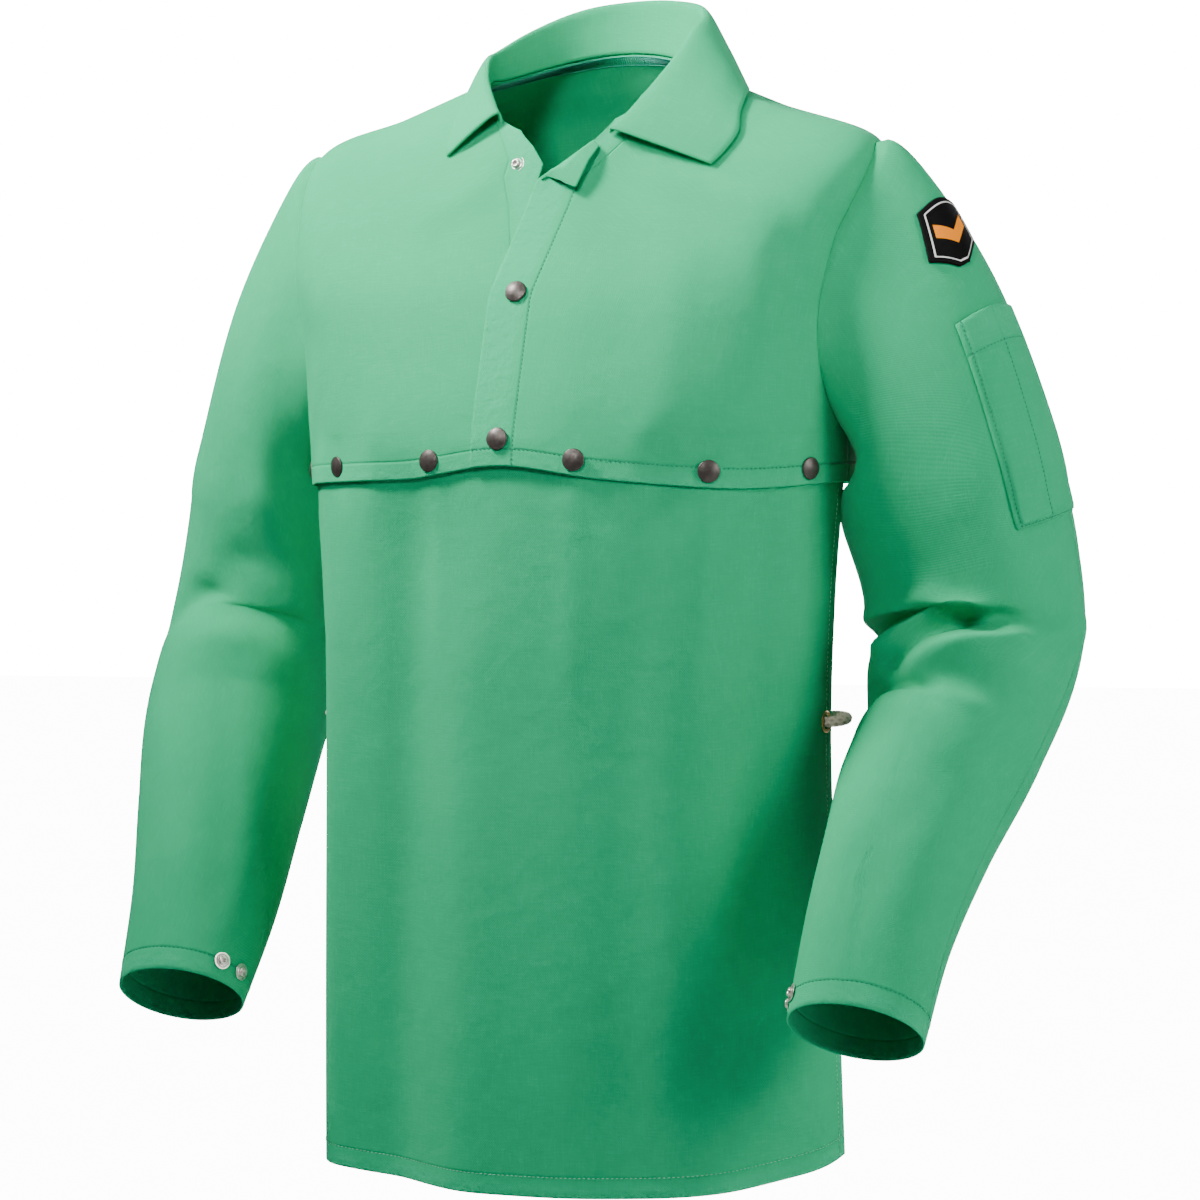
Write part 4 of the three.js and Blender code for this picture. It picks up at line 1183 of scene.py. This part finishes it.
def snap_cap(name, node, seat, normal):
    """A domed cap with a rolled rim."""
    r = CAP_DIAMETER / 2
    flat = r - CAP_ROLL
    rim = arc(flat, CAP_ROLL, CAP_ROLL, -80, 90, 9)
    dome = [(x, toward(CAP_HEIGHT, 2 * CAP_ROLL, (x / flat) ** 2)) for x in np.linspace(flat - 0.4, 0, 10)]
    profile = [(0, 0), (flat - 0.3, 0), *rim, *dome[:-1], (0, CAP_HEIGHT)]
    wear_on(turned(name, profile, seat, normal, PEWTER), node)


STUD_POST = [
    # radius as a share of the stud's, height
    [0.72, 0.5], [0.66, 0.9], [0.6, 0.95], [0.52, 0.6], [0.46, 0.65], [0.45, 1.3], [0.5, 1.9], [0.5, 2.4],
    [0.42, STUD_HEIGHT - 0.1], [0.34, STUD_HEIGHT], [0.26, STUD_HEIGHT - 0.15], [0.22, 1.2], [0, 1.1],
]


def snap_stud(name, node, seat, normal):
    """A bare post with a bead near its top, on a flat ring."""
    r = STUD_DIAMETER / 2
    post = [(share * r, height) for share, height in STUD_POST]
    profile = [(0, 0), (r - 0.3, 0), *arc(r - 0.35, 0.35, 0.35, -70, 100, 6), *post]
    wear_on(turned(name, profile, seat, normal, STEEL), node)


def eyelet(name, node, seat, normal):
    """A rolled ring on the cloth with its barrel through it."""
    hole, barrel = EYELET_HOLE / 2, EYELET_HOLE / 2 + EYELET_WALL
    depth = CLOTH + SEAT_GAP
    roll = (EYELET_OUTER / 2 - hole) / 2
    top = arc(hole + roll, SEAT_GAP, roll, 180, 0, 12)
    top = [(x, SEAT_GAP + (y - SEAT_GAP) * EYELET_WALL / roll * 1.1) for x, y in top]
    profile = [(hole, -depth), *top, (EYELET_OUTER / 2 - 0.3, SEAT_GAP - 0.15), (barrel, SEAT_GAP - 0.15),
               (barrel, -depth)]
    wear_on(turned(name, profile, seat, normal, BRASS), node)


PLACKET_SNAPS = [
    # name, distance across from the centre front, level
    ["top", 23, 9.27],
    ["middle", 0, 7.05],
    ["bottom", 0, 4.45],
]
HEM_SNAP_ANGLES = [-71.5, -42.5, -14.5, 14.5, 42.5, 71.5]
HEM_SNAP_LEVEL = CAPE_HEM + 0.19
NECK_STUD = [-18, 9.46]
CUFF_SNAP_SHARE = 0.975
CUFF_STUD_TURNS = [148, 172]
CUFF_CAP_TURN = 262


def front_seat(angle, level, lift=0.0):
    return hemmed(angle, level, lift + SEAT_GAP), body_normal(angle, level)


def cuff_seat(side, turn):
    normal = sleeve_normal(side, turn, CUFF_SNAP_SHARE)
    return sleeve_point(side, turn, CUFF_SNAP_SHARE) + normal * SEAT_GAP, normal


def snaps():
    for word, x, level in PLACKET_SNAPS:
        angle = angle_at(x, level)
        seat = front_seat(angle, level, left_lift(angle, level))
        snap_cap(f"cap_placket_{word}", f"placket_snap_{word}", *seat)
    for k, angle in enumerate(HEM_SNAP_ANGLES):
        lift = left_lift(angle, HEM_SNAP_LEVEL) if angle > 0 else 0.0
        snap_cap(f"cap_hem_{k + 1}", f"hem_snap_{k + 1}", *front_seat(angle, HEM_SNAP_LEVEL, lift))
    x, level = NECK_STUD
    snap_stud("stud_neck", "neck_stud", *front_seat(angle_at(x, level), level))
    for side, word in SIDES:
        for k, turn in enumerate(CUFF_STUD_TURNS):
            snap_stud(f"stud_cuff_{word}_{k + 1}", f"cuff_stud_{word}_{k + 1}", *cuff_seat(side, turn))
        snap_cap(f"cap_cuff_{word}", f"cuff_cap_{word}", *cuff_seat(side, CUFF_CAP_TURN))
        angle = side * EYELET_ANGLE
        eyelet(f"eyelet_{word}", f"bib_eyelet_{word}", bib_point(angle, EYELET_LEVEL),
               bib_normal(angle, EYELET_LEVEL))


# Waist tie
TIE_ROUTE = np.array([
    [182.9, -10.0, -432.6],
    [188.1, -10.5, -432.6],
    [193.5, -8.2, -432.0],
    [195.8, -2.4, -431.0],
    [194.0, 4.2, -430.0],
    [188.4, 9.4, -429.4],
    [180.4, 14.6, -429.6],
    [171.0, 25.0, -432.0],
    [161.0, 41.0, -438.0],
    [146.0, 61.0, -447.0],
    [124.0, 81.0, -458.0],
    [94.0, 97.0, -469.0],
    [60.0, 107.0, -477.0],
    [21.0, 112.0, -481.0],
])
TIE_POINTS = np.vstack([TIE_ROUTE, (TIE_ROUTE * [-1, 1, 1])[::-1]])
STRANDS = 4
BRAID_PITCH = 17.0
STRAND_SWELL = 0.07
CORD_END_TAPER = 0.25
KNOT_CORD = 2.9
KNOT_LENGTH = 70.0
KNOT_SPREAD = 2.6
KNOT_DEPTH = 0.75


def braided(name, line, length, radius, sides, tight=1.0):
    """A round braid along a line: two sets of strands that cross over and under each other."""
    way = unit(np.gradient(line, axis=0))
    normal = unit(np.cross(way[0], [0.3, 0.2, 1.0]))
    frames = []
    for k, t in enumerate(way):
        if k:
            normal = unit(normal - t * (normal @ t))
        frames.append((normal, np.cross(t, normal)))
    run = np.linspace(0, length, len(line))
    turn = np.linspace(0, 2 * math.pi, sides, endpoint=False)
    points, marks, uvs = [], [], []
    for k, (a, b) in enumerate(frames):
        twist = 2 * math.pi * run[k] / (BRAID_PITCH * tight)
        left = np.cos(STRANDS * turn + twist * STRANDS)
        right = np.cos(STRANDS * turn - twist * STRANDS)
        over = np.maximum(left, right)
        end = min(run[k], length - run[k])
        taper = 1 - CORD_END_TAPER * (1 - smooth(0, 1.5, end))
        r = radius * (1 - STRAND_SWELL + STRAND_SWELL * over) * taper
        points.append(line[k] + np.outer(np.cos(turn) * r, a) + np.outer(np.sin(turn) * r, b))
        # the first mark is how far a strand rides over the others; the cord's colour uses it for painted
        # shade and a painted highlight
        marks.append(np.stack([np.clip(0.5 + 0.5 * over, 0, 1), left, right], axis=-1))
        uvs.append(np.stack([radius * turn, np.full(sides, run[k])], axis=-1))
    points = np.vstack([*points, line[:1], line[-1:]])
    marks = np.vstack([*marks, [[0.3, 0, 0]] * 2])
    uvs = np.vstack([*uvs, [[0, 0], [0, length]]])
    index = np.arange(len(line) * sides).reshape(-1, sides)
    after = np.roll(index, -1, axis=1)
    faces = np.stack([index[:-1], after[:-1], after[1:], index[1:]], -1).reshape(-1, 4).tolist()
    first, last = len(points) - 2, len(points) - 1
    faces += [(first, n, j) for j, n in zip(index[0], after[0])]
    faces += [(last, j, n) for j, n in zip(index[-1], after[-1])]
    return mesh_piece(name, points, faces, CORD, {"strand": marks}, uvs)


def knot(side, word):
    """An overhand knot: a cord wound as a trefoil, drawn tight into a ball."""
    x, y, z = TIE_ROUTE[0]
    normal = bib_normal(side * EYELET_ANGLE, EYELET_LEVEL)
    centre = np.array([side * x, y, z]) - normal * (TIE_KNOT_DIAMETER / 2 + CORD_GAP)
    t = np.linspace(0, 2 * math.pi, 120)
    r = TIE_KNOT_DIAMETER / 2 - KNOT_CORD - CORD_GAP
    line = r * np.stack([(np.sin(t) + 2 * np.sin(2 * t)) / KNOT_SPREAD,
                         (np.cos(t) - 2 * np.cos(2 * t)) / KNOT_SPREAD, -np.sin(3 * t) * KNOT_DEPTH], axis=1)
    helper = unit(np.cross(normal, [0, 0, 1.0]))
    basis = np.stack([helper, np.cross(normal, helper), normal])
    line = centre + line @ basis
    piece = braided(f"cord_knot_{word}", line, KNOT_LENGTH, KNOT_CORD, 16, tight=0.8)
    return wear_on(piece, f"tie_knot_{word}")


def waist_tie():
    line, length = even_curve(TIE_POINTS, 620)
    piece = braided("braided_tie", line, length, TIE_DIAMETER / 2, 24)
    wear_on(piece, "waist_tie")
    knots = [knot(side, word) for side, word in SIDES]


# Stitching runs
THREAD_ABOVE = 0.12


def on_front(angle, level):
    return hemmed(angle, level, left_lift(angle, level) + THREAD_ABOVE)


def stitching():
    hem = CAPE_HEM + HEM_WIDTH / HEM_LEVEL_STEP
    edge = float(edge_angle(LEFT_EDGE, hem))
    placket = np.linspace(CAPE_HEM + 0.02, 9.15, 200)
    facing = np.linspace(7.9, 9.93, 120)
    green = [
        on_front(np.linspace(edge + 0.4, 89.3, 160), hem),
        hemmed(np.linspace(-89.3, edge - 1.5, 160), hem, THREAD_ABOVE),
        hemmed(np.linspace(90.8, 269.2, 260), hem, THREAD_ABOVE),
        on_front(edge_angle(LEFT_EDGE, placket, PLACKET), placket),
        hemmed(edge_angle(RIGHT_EDGE, facing, -FACING), facing, THREAD_ABOVE),
    ]
    for side, _ in SIDES:
        turns, share = np.linspace(0, 360, 120), np.full(120, 1 - CUFF_HEM / ARMS[side][2])
        green.append(sleeve_point(side, turns, share) + sleeve_normal(side, turns, share) * THREAD_ABOVE)
    angles = np.linspace(-89, 89, 260)
    low = BIB_HEM / (BIB_LEVEL_STEP - BIB_CORNER_RISE * (angles / BIB_HALF_ANGLE) ** 2)
    levels = np.linspace(0.02, 3.9, 220)
    inset = BIB_HALF_ANGLE - BIB_SIDE_HEM * degrees_for(1.0, 85.0, levels)
    pale = [bib_point(turn, level) + bib_normal(turn, level) * THREAD_ABOVE
            for turn, level in ((angles, low), (inset, levels), (-inset, levels))]
    sew("stitches_green", green + pocket_lines(THREAD_ABOVE), GREEN_THREAD)
    sew("stitches_pale", pale, PALE_THREAD)


OVERLOCK_LEVELS = (9.985, 9.72)


def overlock():
    """The overcast seam inside the back of the neck, and the fine topstitch above it."""
    angles = np.linspace(95, 262, 300)
    top, low = (body(angles, level, -CLOTH - 0.3) for level in OVERLOCK_LEVELS)
    zigzag = np.where((np.arange(len(angles)) % 2 == 0)[:, None], top, low)
    piece = grown("overcast_neck_seam", THREADS, [zigzag, top, low], Thread=OVERLOCK_THREAD * MM,
                  Material=TEAL_THREAD)
    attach(piece, "root")


# Stage: floor, light and camera
BACKGROUND = 18.0
FLOOR_SIZE = 40
FLOOR_LEVEL = -0.95
ROOM_LIGHT = 0.03
WHITE = (1, 1, 1, 1)


def stage():
    """A pale floor and room that look white to the camera and light the piece only a little."""
    bpy.ops.mesh.primitive_plane_add(size=FLOOR_SIZE, location=(0, 0, FLOOR_LEVEL))
    floor = bpy.context.object
    floor.name = "studio_floor"
    material, tree, shader = new_material("studio_white", 0.9)
    pale = mixed(noise(object_place(tree), 3.0), (0.86, 0.86, 0.86, 1), (0.9, 0.9, 0.9, 1))
    fill(shader, {"Base Color": pale})
    lit = add(tree, "ShaderNodeEmission", {"Color": pale, "Strength": 0.9 * BACKGROUND})
    seen = source(tree, "ShaderNodeLightPath", "Is Camera Ray") * 0.95
    seen = add(tree, "ShaderNodeMixShader", {0: seen, 1: shader, 2: lit})
    fill(tree.nodes["Material Output"], {"Surface": seen})
    floor.data.materials.append(material)
    world = bpy.data.worlds.new("studio")
    world.use_nodes = True
    bpy.context.scene.world = world
    tree = world.node_tree
    room = tree.nodes["Background"]
    fill(room, {"Color": WHITE, "Strength": ROOM_LIGHT})
    backdrop = add(tree, "ShaderNodeBackground", {"Color": WHITE, "Strength": BACKGROUND})
    seen = source(tree, "ShaderNodeLightPath", "Is Camera Ray")
    seen = add(tree, "ShaderNodeMixShader", {0: seen, 1: room, 2: backdrop})
    fill(tree.nodes["World Output"], {"Surface": seen})


LIGHTS = [
    # name, place, size, spread in degrees, power, aimed at
    ["key", (-1.1, -0.7, 1.2), 0.4, 72, 18.5, (-0.05, 0.0, 0.1)],
    ["side", (2.1, -0.3, 0.3), 0.9, 180, 36.0, (0.3, 0.0, -0.4)],
    ["front", (0.1, -1.7, 0.7), 0.4, 50, 2.8, (0.0, 0.05, 0.12)],
    ["behind", (0.5, 2.3, 0.7), 1.2, 180, 26.0, (0.0, 0.0, -0.35)],
]
CAMERA_TURN = math.radians(24.0)
CAMERA_DISTANCE = 2.3
CAMERA_LEVEL = -0.351
CAMERA_OFFSET = 0.0129
CAMERA_LENS = 99.15


def lights_and_camera():
    for name, place, size, spread, strength, aim in LIGHTS:
        lamp = bpy.data.lights.new(name, "AREA")
        lamp.size = size
        lamp.spread = math.radians(spread)
        lamp.energy = strength
        holder = bpy.data.objects.new(name, lamp)
        holder.location = place
        holder.rotation_euler = (Vector(aim) - Vector(place)).to_track_quat("-Z", "Y").to_euler()
        bpy.context.scene.collection.objects.link(holder)
    data = bpy.data.cameras.new("studio_camera")
    data.lens = CAMERA_LENS
    data.sensor_width = 36.0
    data.clip_end = 100.0
    camera = bpy.data.objects.new("studio_camera", data)
    right = Vector((math.cos(CAMERA_TURN), math.sin(CAMERA_TURN), 0))
    back = Vector((math.sin(CAMERA_TURN), -math.cos(CAMERA_TURN), 0))
    camera.location = back * CAMERA_DISTANCE + right * CAMERA_OFFSET + Vector((0, 0, CAMERA_LEVEL))
    camera.rotation_euler = (math.pi / 2, 0, CAMERA_TURN)
    bpy.context.scene.collection.objects.link(camera)
    bpy.context.scene.camera = camera


lights_and_camera()
stage()
waist_tie()
cape_back()
cape_front(1, "left", LEFT_EDGE, PLACKET, (0.34, 0.40, 0.60))
cape_front(-1, "right", RIGHT_EDGE, FACING, (0.32, 0.40, 0.60))
lapel()
collar()
bib()
for side, word in SIDES:
    sleeve(side, word)
pocket()
patch()
snaps()
stitching()
overlock()

bpy.context.view_layer.update()
